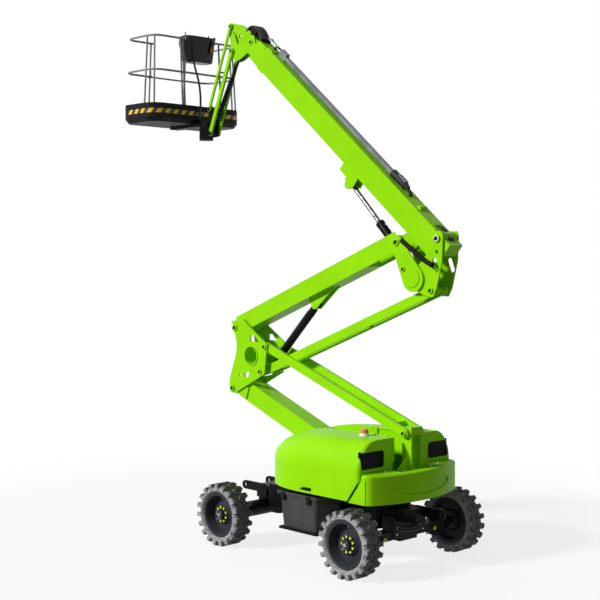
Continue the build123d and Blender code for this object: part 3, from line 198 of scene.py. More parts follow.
def moulded(name, tones, rough=(0.45, 0.62), grain_mm=2.38, depth=0.0008, gloss=0.3):
    """Moulded plastic or rubber: a leathery grain from the mould and a colour that clouds over 200 mm."""
    mat, tree, shader, coords = finish_base(name, Specular_IOR_Level=gloss)
    colour, fac = mottle(tree, coords, tones, 200.0)
    tree.links.new(colour, shader.inputs["Base Color"])
    rough_range(tree, shader, fac, *rough)
    grain(tree, shader, coords, grain_mm, depth, 0.35, 0.006)
    return mat


def bare_metal(name, tones, rough, cloud_mm):
    """Zinc or chrome plate: metallic, with clouding of the plate and a grain of about 3 mm."""
    mat, tree, shader, coords = finish_base(name, Metallic=1.0)
    colour, fac = mottle(tree, coords, tones, cloud_mm)
    tree.links.new(colour, shader.inputs["Base Color"])
    rough_range(tree, shader, fac, *rough)
    grain(tree, shader, coords, 3.333, 0.0002, 0.15)
    return mat


def tyre_rubber(name, centre):
    """Pale non-marking rubber: light sidewall, darker on the scuffed tread faces and at the grooves' depth.
    """
    mat, tree, shader, coords = finish_base(name, IOR=1.52)
    local = add_node(tree, "ShaderNodeMapping", {"Vector": coords, "Location": tuple(-c for c in centre)})
    parts = add_node(tree, "ShaderNodeSeparateXYZ", {"Vector": local.outputs["Vector"]})
    flat = add_node(tree, "ShaderNodeCombineXYZ", {"X": parts.outputs["X"], "Z": parts.outputs["Z"]})
    radius = add_node(tree, "ShaderNodeVectorMath", {0: flat.outputs["Vector"]}, operation="LENGTH")
    aside = add_node(tree, "ShaderNodeMath", {0: parts.outputs["Y"]}, operation="ABSOLUTE")
    pale, fac = mottle(tree, coords, ("#7E7F80", "#A6A7A8"), 38.5)
    darker_rubber, _ = mottle(tree, coords, ("#1B1B1B", "#3D3C3B"), 25.0)
    shares = []
    # darker rubber over the scuffed tread faces and a band at the grooves' depth, in full over the middle, a
    # quarter at the sides
    for source, band, start, end in ((aside, SHOULDER, 1.0, 0.25), (radius, TREAD_FACE, 0.0, 1.0),
                                     (radius, GROOVE_TOP, 1.0, 0.0), (radius, GROOVE_FLOOR, 0.0, 1.0)):
        share = add_node(tree, "ShaderNodeMapRange", {"Value": source.outputs["Value"], "From Min": band[0],
                                                      "From Max": band[1], "To Min": start, "To Max": end})
        shares.append(share.outputs["Result"])
    inner, worn, deep, near = shares
    groove = add_node(tree, "ShaderNodeMath", {0: deep, 1: near}, operation="MULTIPLY")
    most = add_node(tree, "ShaderNodeMath", {0: worn, 1: groove.outputs["Value"]}, operation="MAXIMUM")
    dark = add_node(tree, "ShaderNodeMath", {0: most.outputs["Value"], 1: inner}, operation="MULTIPLY")
    mix = add_node(tree, "ShaderNodeMix", {"Factor": dark.outputs["Value"], "A": pale, "B": darker_rubber},
                   data_type="RGBA")
    tree.links.new(mix.outputs["Result"], shader.inputs["Base Color"])
    rough_range(tree, shader, fac, 0.7, 0.88)
    grain(tree, shader, coords, 5.26, 0.0012, 0.4, 0.006)
    return mat


def striped(name, tones, count):
    """Hazard tape: slanted bands from the strip's own UV, U along and V across."""
    mat, tree, shader, coords = finish_base(name, Roughness=0.38)
    uv = add_node(tree, "ShaderNodeTexCoord").outputs["UV"]
    parts = add_node(tree, "ShaderNodeSeparateXYZ", {"Vector": uv})
    along = add_node(tree, "ShaderNodeMath", {0: parts.outputs["X"], 1: count}, operation="MULTIPLY")
    lean = add_node(tree, "ShaderNodeMath", {0: parts.outputs["Y"], 1: STRIPE_LEAN}, operation="MULTIPLY")
    slant = add_node(tree, "ShaderNodeMath", {0: along.outputs["Value"], 1: lean.outputs["Value"]},
                     operation="SUBTRACT")
    part = add_node(tree, "ShaderNodeMath", {0: slant.outputs["Value"]}, operation="FRACT")
    band = add_node(tree, "ShaderNodeMath", {0: part.outputs["Value"], 1: 0.5}, operation="GREATER_THAN")
    mix = add_node(tree, "ShaderNodeMix", {"Factor": band.outputs["Value"], "A": tones[0], "B": tones[1]},
                   data_type="RGBA")
    tree.links.new(mix.outputs["Result"], shader.inputs["Base Color"])
    grain(tree, shader, coords, 5.0, 0.0003, 0.2)
    return mat


# surfaces

def grid_quads(rows, cols, closed=False):
    """Quads between neighbours of a grid of points; closed joins its last column to its first."""
    a, b = np.meshgrid(np.arange(rows - 1), np.arange(cols if closed else cols - 1), indexing="ij")
    near, far = a * cols, (a + 1) * cols
    after = (b + 1) % cols
    return np.stack([near + b, near + after, far + after, far + b], -1).reshape(-1, 4)


def sheet_mesh(name, points, closed=False, uv=None):
    """Quads over a grid of points (rows, columns, 3), closed round its columns where asked."""
    return faces_mesh(name, points.reshape(-1, 3), grid_quads(*points.shape[:2], closed), uv)


def faces_mesh(name, points, faces, uv=None):
    """Mesh from points and equal-sided faces, written with foreach_set."""
    faces = np.asarray(faces, np.int32)
    mesh = bpy.data.meshes.new(name)
    mesh.vertices.add(len(points))
    mesh.vertices.foreach_set("co", np.asarray(points, np.float32).ravel())
    mesh.loops.add(faces.size)
    mesh.loops.foreach_set("vertex_index", faces.ravel())
    mesh.polygons.add(len(faces))
    mesh.polygons.foreach_set("loop_start", np.arange(0, faces.size, faces.shape[1], dtype=np.int32))
    mesh.update(calc_edges=True)
    if uv is not None:
        layer = mesh.uv_layers.new(name="UVMap")
        layer.data.foreach_set("uv", np.asarray(uv, np.float32).reshape(-1, 2)[faces.ravel()].ravel())
    mesh.validate()
    return mesh


def piece(name, mesh, material, body, smooth=30.0):
    """Object at the origin from a mesh, smooth below an angle; it rides on a body, unless that is None."""
    obj = bpy.data.objects.new(name, mesh)
    bpy.context.scene.collection.objects.link(obj)
    mesh.materials.append(bpy.data.materials[material])
    mesh.polygons.foreach_set("use_smooth", np.ones(len(mesh.polygons), bool))
    mesh.set_sharp_from_angle(angle=math.radians(smooth))
    if body is not None:
        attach(obj, body)
    return obj


def joined(parts):
    """Several (points, quads) sets as one set."""
    points, faces, start = [], [], 0
    for p, f in parts:
        points.append(p)
        faces.append(f + start)
        start += len(p)
    return np.concatenate(points), np.concatenate(faces)


def cluster(name, parts, material, body, smooth=30.0):
    """Several (points, quads) sets as one piece on a body."""
    return piece(name, faces_mesh(name, *joined(parts)), material, body, smooth)


def frame_of(axis):
    """An axis at unit length and two unit vectors across it."""
    axis = np.asarray(axis, float) / np.linalg.norm(axis)
    other = np.array([0.0, 0.0, 1.0]) if abs(axis[2]) < 0.9 else np.array([1.0, 0.0, 0.0])
    u = np.cross(other, axis)
    u /= np.linalg.norm(u)
    return axis, u, np.cross(axis, u)


def circle(count):
    """Angles of evenly spaced points round a circle."""
    return np.linspace(0, 2 * np.pi, count, endpoint=False)


def lathe(centre, axis, profile, sides=24):
    """Profile of (distance along, radius) turned about an axis; an end at radius 0 is closed."""
    axis, u, v = frame_of(axis)
    t = circle(sides)
    ring = np.cos(t)[:, None] * u + np.sin(t)[:, None] * v
    profile = np.asarray(profile, float)
    points = np.asarray(centre, float) + profile[:, None, :1] * axis + profile[:, None, 1:] * ring[None]
    return points.reshape(-1, 3), grid_quads(len(profile), sides, True)


def prism(centre, axis, radius, length, sides=6):
    """Nut or bolt head: a many-sided bar on its base, its far end chamfered by 0.12 of the radius."""
    edge = 0.12 * radius
    profile = ((0, 0.0), (0, radius), (length - edge, radius), (length, radius - edge), (length, 0.0))
    return lathe(centre, axis, profile, sides)


def roller(centre, axis, radius, length, edge, sides):
    """Round bar on its base with both ends chamfered."""
    profile = ((0, 0.0), (0, radius - edge), (edge, radius), (length - edge, radius),
               (length, radius - edge), (length, 0.0))
    return lathe(centre, axis, profile, sides)


def bevelled_box(low, high, edge=0.004):
    """Box chamfered at its bottom and top: rectangles stacked along Z, closed to a point at both ends."""
    low, high = np.asarray(low, float), np.asarray(high, float)
    c, h = (low + high) / 2, (high - low) / 2
    e = min(edge, *(0.45 * h))
    sign = np.array([(-1, -1), (1, -1), (1, 1), (-1, 1)], float)
    rings = []
    for z, inset in ((-h[2], None), (-h[2], e), (-h[2] + e, 0), (h[2] - e, 0), (h[2], e), (h[2], None)):
        half = np.zeros(2) if inset is None else h[:2] - inset
        rings.append(np.column_stack([sign * half, np.full(4, z)]))
    return np.concatenate(rings) + c, grid_quads(len(rings), 4, True)


def sided_box(x, y, z, sign, edge=0.004):
    """Chamfered box from its spans along X, Y and Z, Y turned to the right where the sign is -1."""
    y0, y1 = sorted(sign * v for v in y)
    return bevelled_box((x[0], y0, z[0]), (x[1], y1, z[1]), edge)


def tube_along(path, radius, sides=10):
    """Round tube along a line of points, open at its ends, its frame carried along with no twist."""
    path = np.asarray(path, float)
    tangent = np.gradient(path, axis=0)
    tangent /= np.linalg.norm(tangent, axis=1)[:, None]
    _, u, _ = frame_of(tangent[0])
    across = []
    for t in tangent:
        u = u - t * (u @ t)
        u /= np.linalg.norm(u)
        across.append(u)
    across = np.array(across)
    other = np.cross(tangent, across)
    t = circle(sides)
    ring = np.cos(t)[None, :, None] * across[:, None] + np.sin(t)[None, :, None] * other[:, None]
    points = path[:, None] + radius * ring
    return points.reshape(-1, 3), grid_quads(len(path), sides, True)


def eased(points, count):
    """Smooth line led by control points: a uniform cubic B-spline that starts and ends on the outer two."""
    p = np.asarray(points, float)
    p = np.concatenate([[2 * p[0] - p[1]], p, [2 * p[-1] - p[-2]]])
    n = len(p) - 3
    t = np.linspace(0, n - 1e-9, count)
    i = t.astype(int)
    f = (t - i)[:, None]
    return ((1 - f) ** 3 * p[i] + (3 * f ** 3 - 6 * f ** 2 + 4) * p[i + 1]
            + (-3 * f ** 3 + 3 * f ** 2 + 3 * f + 1) * p[i + 2] + f ** 3 * p[i + 3]) / 6


# places worked out from the pins

LOWER_ROOT, LINK_ROOT, LOWER_TIP = pin("riser_lift"), pin("link_lower_turn"), pin("knuckle_mid_level")
LINK_TIP = LOWER_TIP + LINK_ROOT - LOWER_ROOT
RISER_ROOT, TIE_ROOT, RISER_TIP = pin("riser_turn"), pin("link_riser_turn"), pin("knuckle_top_level")
TIE_TIP = RISER_TIP + TIE_ROOT - RISER_ROOT
MAIN_PIN, HEAD_PIN, LIFT_FOOT = pin("main_lift"), pin("head_level"), pin("lift_barrel_turn")
JIB_TOP, TIE_TOP, JIB_END = pin("jib_lift"), pin("jib_tie_turn"), pin("jib_foot_level")
TIE_END = JIB_END + TIE_TOP - JIB_TOP
ALONG = np.array(JOINTS["telescope"]["axis"], float)
UP = np.array([-ALONG[2], 0.0, ALONG[0]])
LEFT = np.array([0.0, 1.0, 0.0])
REAR = np.array([-1.0, 0.0, 0.0])
SKY = np.array([0.0, 0.0, 1.0])


def on_boom(s, across, y=0.0):
    """Point a distance along the main boom's axis from its pivot, another across it, and y to the left."""
    return MAIN_PIN + s * ALONG + across * UP + y * LEFT


def radial(turn):
    """Unit vector across a wheel's axle at an angle."""
    return np.array([np.cos(turn), 0.0, np.sin(turn)])


# settings

def colour_setting(name, description, hexa):
    """Colour property with an sRGB hex default."""
    return bpy.props.FloatVectorProperty(name=name, description=description, subtype="COLOR", size=4,
                                         min=0, max=1, default=linear(hexa))


def length_setting(name, description, default):
    """Length property in metres."""
    return bpy.props.FloatProperty(name=name, description=description, unit="LENGTH", default=default,
                                   min=0.001)


class BoomLiftFinish(bpy.types.PropertyGroup):
    """Colours of the machine's finishes."""
    lime: colour_setting("Lime paint", "Powder coat of booms, hoods and counterweight", "#92DC00")
    black: colour_setting("Chassis black", "Paint of chassis and axles", "#0C0D0F")
    rim: colour_setting("Rim charcoal", "Paint of the pressed rims", "#33363A")
    hazard: colour_setting("Hazard yellow", "Yellow of the band round the platform", "#F2C61A")


class BoomLiftSizes(bpy.types.PropertyGroup):
    """Sizes of the hoses and of the stage."""
    hose: length_setting("Hose radius", "Radius of the hoses on the main boom", 0.011)
    head_hose: length_setting("Head hose radius", "Radius of the hoses over the boom's head", 0.0155)
    chain: length_setting("Chain radius", "Radius of the cable chain's links", 0.031)
    floor_radius: length_setting("Floor radius", "Where the floor fades into the backdrop", 9.0)
    camera_at: bpy.props.FloatVectorProperty(name="Camera", description="Standpoint of the photograph",
                                             subtype="TRANSLATION", size=3,
                                             default=(-12.104, 11.548, 3.944))
    lens: bpy.props.FloatProperty(name="Lens", description="Focal length on a 36 mm sensor, in millimetres",
                                  default=71.8, min=10.0)


class BOOMLIFT_OT_finishes(bpy.types.Operator):
    """Give every solid its paint, rubber, plastic or plate"""
    bl_idname = "boomlift.finishes"
    bl_label = "Finishes"
    stripe_count = 19.0

    def execute(self, context):
        scheme = context.scene.boomlift_finish
        # baked coats: satin, with hardly any drift in the lime and more in the black
        lime = painted("lime_powder_coat", shades(scheme.lime, 0.95, 1.03))
        black = painted("black_chassis_paint", shades(scheme.black, 0.6, 1.3), (0.38, 0.55))
        rim = painted("charcoal_rim_paint", shades(scheme.rim, 0.8, 1.2), (0.36, 0.5))
        rails = painted("grey_rail_coat", ("#7C8083", "#979B9E"), (0.35, 0.5), 0.4)
        block = painted("cast_iron_grey", ("#3A3B3C", "#55565A"), (0.5, 0.7), 0.0)
        # rotomoulded shells: matt, nearly black or dark grey
        plastic = moulded("black_polyethylene", ("#040507", "#0A0C0F"), gloss=0.12)
        tub = moulded("grey_polyethylene", ("#2F2E2E", "#3F3D3C"))
        moulded("console_gloss", ("#0A0B0E", "#14161B"), (0.18, 0.28), 3.333, 0.0003, gloss=0.22)
        # the boom's top tube: a dull zinc coat that reads as plain grey
        hose = moulded("galvanised_hose_tube", ("#6C7178", "#8B9097"), (0.3, 0.45), 8.333)
        moulded("hose_rubber", ("#0D0D0E", "#191A1B"), (0.5, 0.65), 3.846, 0.0005)
        # small mouldings in clear colours
        amber = moulded("beacon_lens", ("#D8742A", "#EE9A3C"), (0.12, 0.2))
        moulded("white_plastic", ("#D9D9D6", "#EDEDEA"), (0.3, 0.45))
        moulded("indicator_plastic", ("#B9D62A", "#CFE545"), (0.4, 0.55))
        moulded("orange_sleeve", ("#C8702A", "#DE8434"), (0.45, 0.6))
        # plated metal: bright on the rods, clouded on bolts and pipes; the rods' chrome is made darker than
        # chrome as a painted dark reflection
        chrome = bare_metal("chromed_rod", ("#7C7F83", "#9A9DA0"), (0.08, 0.16), 83.33)
        bare_metal("zinc_plate", ("#8C8F92", "#B9BCBE"), (0.28, 0.42), 33.33)
        striped("hazard_tape", (scheme.hazard, linear("#0C0C0D")), self.stripe_count)
        finish_of = dict.fromkeys(LIME_NODES, lime)
        finish_of.update(tub_left=tub, tub_right=tub, platform_base=plastic, console=plastic,
                         guard_rails=rails, gate_bar=rails, hose_tube=hose, engine=block, beacon=amber,
                         riser_rod=chrome, lift_rod=chrome)
        for wheel in WHEELS:
            finish_of["rim_" + wheel] = rim
            finish_of["tyre_" + wheel] = tyre_rubber("tyre_rubber_" + wheel, pin("spin_" + wheel))
        for name, node in NODES.items():
            node.data.materials.clear()
            node.data.materials.append(finish_of.get(name, black))
        return {"FINISHED"}


class BOOMLIFT_OT_wheels(bpy.types.Operator):
    """Add loose-nut indicators, hub bolts and a valve to each wheel"""
    bl_idname = "boomlift.wheels"
    bl_label = "Wheel details"
    nut_count, nut_circle, nut_out = 9, 0.095, 0.052
    arrow_radius, arrow_height = 0.026, 0.008
    hub_out, bolt_circle, bolt_turn = 0.098, 0.045, 0.2
    bolt_radius, bolt_height = 0.008, 0.007
    hub_cap = ((0, 0.0), (0, 0.026), (0.012, 0.022), (0.014, 0.0))
    valve_rise = 0.215
    valve = ((-0.02, 0.0), (-0.02, 0.009), (0.045, 0.007), (0.05, 0.0))

    def execute(self, context):
        turns = circle(self.nut_count)
        for wheel in WHEELS:
            body, centre = "wheel_" + wheel, pin("spin_" + wheel)
            out = LEFT * np.sign(centre[1])
            hub = centre + self.hub_out * out
            arrows = [prism(centre + self.nut_circle * radial(t) + self.nut_out * out, out, self.arrow_radius,
                            self.arrow_height, 3) for t in turns]
            cluster("nut_indicators_" + wheel, arrows, "indicator_plastic", body)
            bolts = [prism(hub + self.bolt_circle * radial(t), out, self.bolt_radius, self.bolt_height)
                     for t in turns[::3] + self.bolt_turn]
            bolts.append(lathe(hub, out, self.hub_cap))
            bolts.append(lathe(centre + self.valve_rise * SKY, out, self.valve, 12))
            cluster("hub_bolts_" + wheel, bolts, "zinc_plate", body)
        return {"FINISHED"}


class BOOMLIFT_OT_pins(bpy.types.Operator):
    """Add washers, caps and keeper bolts at the pins of the booms, links and jib"""
    bl_idname = "boomlift.pins"
    bl_label = "Pin caps"
    # half widths over the plates that hold the pins
    cheeks, posts, plates, uprights, tie_plates = 0.203, 0.181, 0.204, 0.180, 0.178
    arms, tie_rods, head_plates = 0.100, 0.096, 0.068
    # radii of the pins
    boom_pin, link_pin, lift_pin = 0.040, 0.032, 0.028
    head_pin, jib_pin, tie_pin = 0.030, 0.026, 0.022
    # profiles as height and share of the pin's radius
    washer = np.array([(0, 0.0), (0, 1.2), (0.006, 1.2), (0.0075, 1.12), (0.0075, 0.0)])
    cap = np.array([(0, 0.0), (0, 0.62), (0.008, 0.58), (0.011, 0.4), (0.012, 0.0)])
    washer_sunk, cap_proud = 0.006, 0.001
    # keeper bolt: its place and radius as shares of the pin's radius
    keeper_at, keeper_radius, keeper_height = 0.85 * np.array([0.8, 0.0, -0.6]), 0.2, 0.009
    ring_out = 0.1815
    ring = ((0, 0.028), (0, 0.042), (0.004, 0.042), (0.005, 0.028))
    # drum cover: X and Z from the riser's upper pin, and Y
    drum_x, drum_z, drum_out = -0.255, -0.445, 0.188
    drum = ((0, 0.0), (0, 0.128), (0.007, 0.128), (0.010, 0.124), (0.010, 0.0))

    def execute(self, context):
        ends = {"turret": ((LOWER_ROOT, self.cheeks, self.boom_pin),
                           (LINK_ROOT, self.posts, self.link_pin)),
                "knuckle_mid": ((LOWER_TIP, self.plates, self.boom_pin),
                                (RISER_ROOT, self.plates, self.boom_pin),
                                (LINK_TIP, self.plates, self.link_pin),
                                (TIE_ROOT, self.plates, self.link_pin)),
                "knuckle_top": ((RISER_TIP, self.plates, self.boom_pin),
                                (LIFT_FOOT, self.plates, self.lift_pin),
                                (MAIN_PIN, self.uprights, self.boom_pin),
                                (TIE_TIP, self.tie_plates, self.link_pin)),
                "jib_head": ((JIB_TOP, self.arms, self.jib_pin),
                             (TIE_TOP, self.tie_rods, self.tie_pin),
                             (HEAD_PIN, self.head_plates, self.head_pin)),
                "jib_foot": ((JIB_END, self.arms, self.jib_pin),
                             (TIE_END, self.tie_rods, self.tie_pin))}
        for body, pins in ends.items():
            washers, caps = [], []
            for centre, y, r in pins:
                for side in (-1, 1):
                    out = side * LEFT
                    face = centre + y * out
                    top = face + self.cap_proud * out
                    washers.append(lathe(face - self.washer_sunk * out, out, self.washer * (1, r), 32))
                    caps.append(lathe(top, out, self.cap * (1, r), 28))
                    caps.append(prism(top + r * self.keeper_at, out, r * self.keeper_radius,
                                      self.keeper_height))
            coat = "black_chassis_paint" if body == "jib_foot" else "lime_powder_coat"
            cluster("pin_washers_" + body, washers, coat, body)
            cluster("pin_caps_" + body, caps, "black_chassis_paint", body)
        rings = [lathe(MAIN_PIN + side * self.ring_out * LEFT, side * LEFT, self.ring, 32)
                 for side in (-1, 1)]
        cluster("pivot_rings", rings, "white_plastic", "knuckle_top")
        drums = [lathe(RISER_TIP + (self.drum_x, side * self.drum_out, self.drum_z), side * LEFT,
                       self.drum, 64) for side in (-1, 1)]
        cluster("drum_covers", drums, "lime_powder_coat", "knuckle_top")
        return {"FINISHED"}


class BOOMLIFT_OT_hoses(bpy.types.Operator):
    """Add the cable chain, the hoses, the boom's end plates and the cylinders' fittings"""
    bl_idname = "boomlift.hoses"
    bl_label = "Hoses"
    # cable chain: X and Z from the riser's upper pin, at one Y
    chain_route = ((-0.10, 0.02), (-0.19, -0.04), (-0.34, -0.145), (-0.49, -0.245), (-0.61, -0.29))
    chain_y, link_share, link_step = 0.203, 0.88, 0.006
    # hose routes on the main boom: distance along, height across, height added from hose to hose,
    # after how many hoses that starts again, and the share of the hose's own Y
    tip_route = ((3.90, 0.097, 0.0, 1, 1.0), (3.99, 0.117, 0.008, 3, 1.0), (4.07, 0.111, 0.010, 3, 1.0),
                 (4.12, 0.066, 0.0, 1, 0.8), (4.125, 0.040, 0.0, 1, 0.8))
    foot_route = ((0.95, 0.087, 0.0, 1, 1.0), (0.86, 0.085, 0.0, 1, 1.0), (0.80, 0.070, 0.008, 3, 1.0),
                  (0.77, 0.040, 0.0, 1, 1.0))
    root_route = ((0.20, 0.040, 0.0, 1, 1.6), (0.15, 0.062, 0.006, 3, 1.6), (0.02, 0.068, 0.006, 3, 1.6),
                  (-0.10, 0.052, 0.0, 1, 1.6), (-0.16, 0.010, 0.0, 1, 1.6))
    head_route = ((4.36, 0.055, 0.0, 1, 1.0), (4.43, 0.072, 0.012, 3, 1.0), (4.51, 0.100, 0.016, 2, 1.0),
                  (4.60, 0.112, 0.0, 1, 0.9), (4.68, 0.072, 0.0, 1, 0.8), (4.73, 0.010, 0.0, 1, 0.7),
                  (4.74, -0.06, 0.0, 1, 0.6))
    hose_ys = (-0.024, 0.0, 0.024)
    head_hose_count, head_hose_y = 7, 0.078
    # boot and pipes at the ends of the top tube
    boot_at = (1.21, 0.093)
    boot = ((0, 0.046), (0.01, 0.056), (0.24, 0.056), (0.30, 0.044), (0.345, 0.030), (0.345, 0.0))
    pipe_ys, pipe_radius = (-0.045, -0.015, 0.015), 0.009
    pipe_route = ((3.90, 0.097), (4.12, 0.101), (4.30, 0.107))
    nut_at, nut_radius, nut_length = (4.27, 0.106), 0.016, 0.04
    # clamp on the inner boom and valve block on the head, under the hoses that bend between them
    bend_start, bend_end = (4.42, 0.05), (4.70, 0.05)
    clamp_at, clamp_radius, clamp_length = (4.36, 0.052, -0.092), 0.034, 0.184
    valve_at, valve_low, valve_high = (4.60, 0.05), (-0.06, -0.075, -0.06), (0.06, 0.075, 0.05)
    # end plates: name, body, inner and outer Y, and outline along and across the boom
    end_plates = (("tip_sleeve", "main_boom", (0.113, 0.126),
                   ((4.09, 0.045), (4.09, -0.28), (4.385, -0.272), (4.125, 0.045))),
                  ("tip_inset", "inner_boom", (0.1032, 0.1085),
                   ((4.20, 0.0), (4.20, -0.25), (4.52, -0.246), (4.385, -0.03))))
    plate_quads = np.array([(0, 1, 2, 3), (4, 7, 6, 5), (0, 4, 5, 1), (1, 5, 6, 2), (2, 6, 7, 3),
                            (3, 7, 4, 0)])
    hump_at, hump_radius, hump_length = (0.528, 0.040, -0.07), 0.040, 0.14
    edge = 0.004
    # jib hoses: distance along the arms and sway across them
    jib_route = ((0.16, 0.012), (0.4, -0.012), (0.8, 0.014), (1.1, 0.0))
    jib_hose_ys, jib_hose_radius = (-0.049, 0.049), 0.0075
    # cylinders: name, barrel's radius and length
    barrels = (("riser", 0.053, 1.1), ("lift", 0.058, 0.82), ("jib", 0.034, 0.62))
    # gland at the mouth and band near the foot, as distance along and share of the radius
    gland = np.array([(0, 1.0), (0.004, 1.06), (0.046, 1.06), (0.05, 1.0)])
    band = np.array([(0, 1.0), (0.003, 1.04), (0.025, 1.04), (0.028, 1.0)])
    gland_back, band_at = 0.05, 0.16
    port_at, port_back, port_seat, port_radius, port_height = 0.2, 0.09, 0.96, 0.013, 0.018
    # pipe between the ports: distance from the foot or from the mouth, and height over the barrel
    foot_pipe, mouth_pipe = ((0.2, 0.012), (0.23, 0.016)), ((-0.14, 0.012), (-0.09, 0.014))
    port_pipe_radius = 0.006

    def execute(self, context):
        sizes = context.scene.boomlift_sizes
        self.chain(sizes.chain)
        self.boom_hoses(sizes.hose)
        self.head_hoses(sizes.head_hose)
        self.boom_plates()
        self.jib_hoses()
        self.cylinders()
        return {"FINISHED"}

    def chain(self, radius):
        """Black cable chain beside the top knuckle: links along a sagging curve, over a thinner core."""
        path = eased([RISER_TIP + (x, self.chain_y, z) for x, z in self.chain_route], 19)
        links = [tube_along([a, a + self.link_share * (b - a)], radius, 12)
                 for a, b in zip(path[:-1], path[1:])]
        links.append(tube_along(path, radius - self.link_step, 12))
        cluster("cable_chain", links, "black_polyethylene", "knuckle_top", 40.0)

    def hose(self, route, k, y, count, radius):
        """Hose number k of a group at its own y, along one of the routes above."""
        line = [on_boom(s, across + step * (k % cycle), share * y)
                for s, across, step, cycle, share in route]
        return tube_along(eased(line, count), radius)

    def boom_hoses(self, radius):
        """Hoses and pipes at the ends of the top tube, a boot at the lower one, and hoses over the root."""
        hoses = []
        for k, y in enumerate(self.hose_ys):
            for route, count in ((self.tip_route, 28), (self.foot_route, 22), (self.root_route, 26)):
                hoses.append(self.hose(route, k, y, count, radius))
        cluster("boom_hoses", hoses, "hose_rubber", "main_boom", 60.0)
        boot = lathe(on_boom(*self.boot_at), -ALONG, self.boot, 32)
        cluster("tube_boot", [boot], "hose_rubber", "main_boom")
        pipes = [tube_along([on_boom(*at, y) for at in self.pipe_route], self.pipe_radius)
                 for y in self.pipe_ys]
        pipes += [prism(on_boom(*self.nut_at, y), ALONG, self.nut_radius, self.nut_length)
                  for y in self.pipe_ys]
        cluster("tip_pipes", pipes, "zinc_plate", "main_boom", 50.0)

    def head_hoses(self, radius):
        """Hoses curved from a clamp on the inner boom to a valve block on the head; they ride on no body."""
        ys = np.linspace(-self.head_hose_y, self.head_hose_y, self.head_hose_count)
        bunch = [self.hose(self.head_route, k, y, 36, radius) for k, y in enumerate(ys)]
        hoses = cluster("head_hoses", bunch, "hose_rubber", None, 60.0)
        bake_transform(hoses)
        clamp = roller(on_boom(*self.clamp_at), LEFT, self.clamp_radius, self.clamp_length, self.edge, 24)
        cluster("hose_clamp", [clamp], "black_chassis_paint", "inner_boom")
        at = on_boom(*self.valve_at)
        valve = bevelled_box(at + self.valve_low, at + self.valve_high, 2 * self.edge)
        cluster("head_valve", [valve], "black_chassis_paint", "jib_head")

    def boom_plates(self):
        """Slanted side plates at the ends of both boom sections, and the hump near the boom's root."""
        for name, body, ys, outline in self.end_plates:
            plates = [(np.array([on_boom(s, across, side * y) for y in ys for s, across in outline]),
                       self.plate_quads) for side in (-1, 1)]
            cluster(name, plates, "lime_powder_coat", body)
        hump = roller(on_boom(*self.hump_at), LEFT, self.hump_radius, self.hump_length, self.edge, 32)
        cluster("boom_hump", [hump], "lime_powder_coat", "main_boom")

    def jib_hoses(self):
        """Two hoses that sway along the jib's arms."""
        along = (JIB_END - JIB_TOP) / np.linalg.norm(JIB_END - JIB_TOP)
        across = np.array([-along[2], 0.0, along[0]])
        lines = [[JIB_TOP + s * along + a * across + y * LEFT for s, a in self.jib_route]
                 for y in self.jib_hose_ys]
        hoses = [tube_along(eased(line, 26), self.jib_hose_radius) for line in lines]
        cluster("jib_hoses", hoses, "hose_rubber", "jib_arms", 60.0)

    def cylinders(self):
        """Gland rings, ports and the pipe between them on each barrel."""
        for name, radius, length in self.barrels:
            barrel = name + "_barrel"
            axis = np.array(JOINTS[name + "_rod_slide"]["axis"], float)
            foot = pin(barrel + "_turn")
            mouth = foot + length * axis
            rings = [lathe(mouth - self.gland_back * axis, axis, self.gland * (1, radius), 36),
                     lathe(foot + self.band_at * axis, axis, self.band * (1, radius), 36)]
            cluster(barrel + "_rings", rings, "black_chassis_paint", barrel)
            up = np.array([-axis[2], 0.0, axis[0]])
            up = up if up[2] > 0 else -up
            seat = self.port_seat * radius * up
            ports = [prism(at + seat, up, self.port_radius, self.port_height)
                     for at in (foot + self.port_at * axis, mouth - self.port_back * axis)]
            line = [end + s * axis + (radius + rise) * up
                    for end, spots in ((foot, self.foot_pipe), (mouth, self.mouth_pipe)) for s, rise in spots]
            ports.append(tube_along(eased(line, 24), self.port_pipe_radius))
            cluster(barrel + "_ports", ports, "zinc_plate", barrel, 50.0)


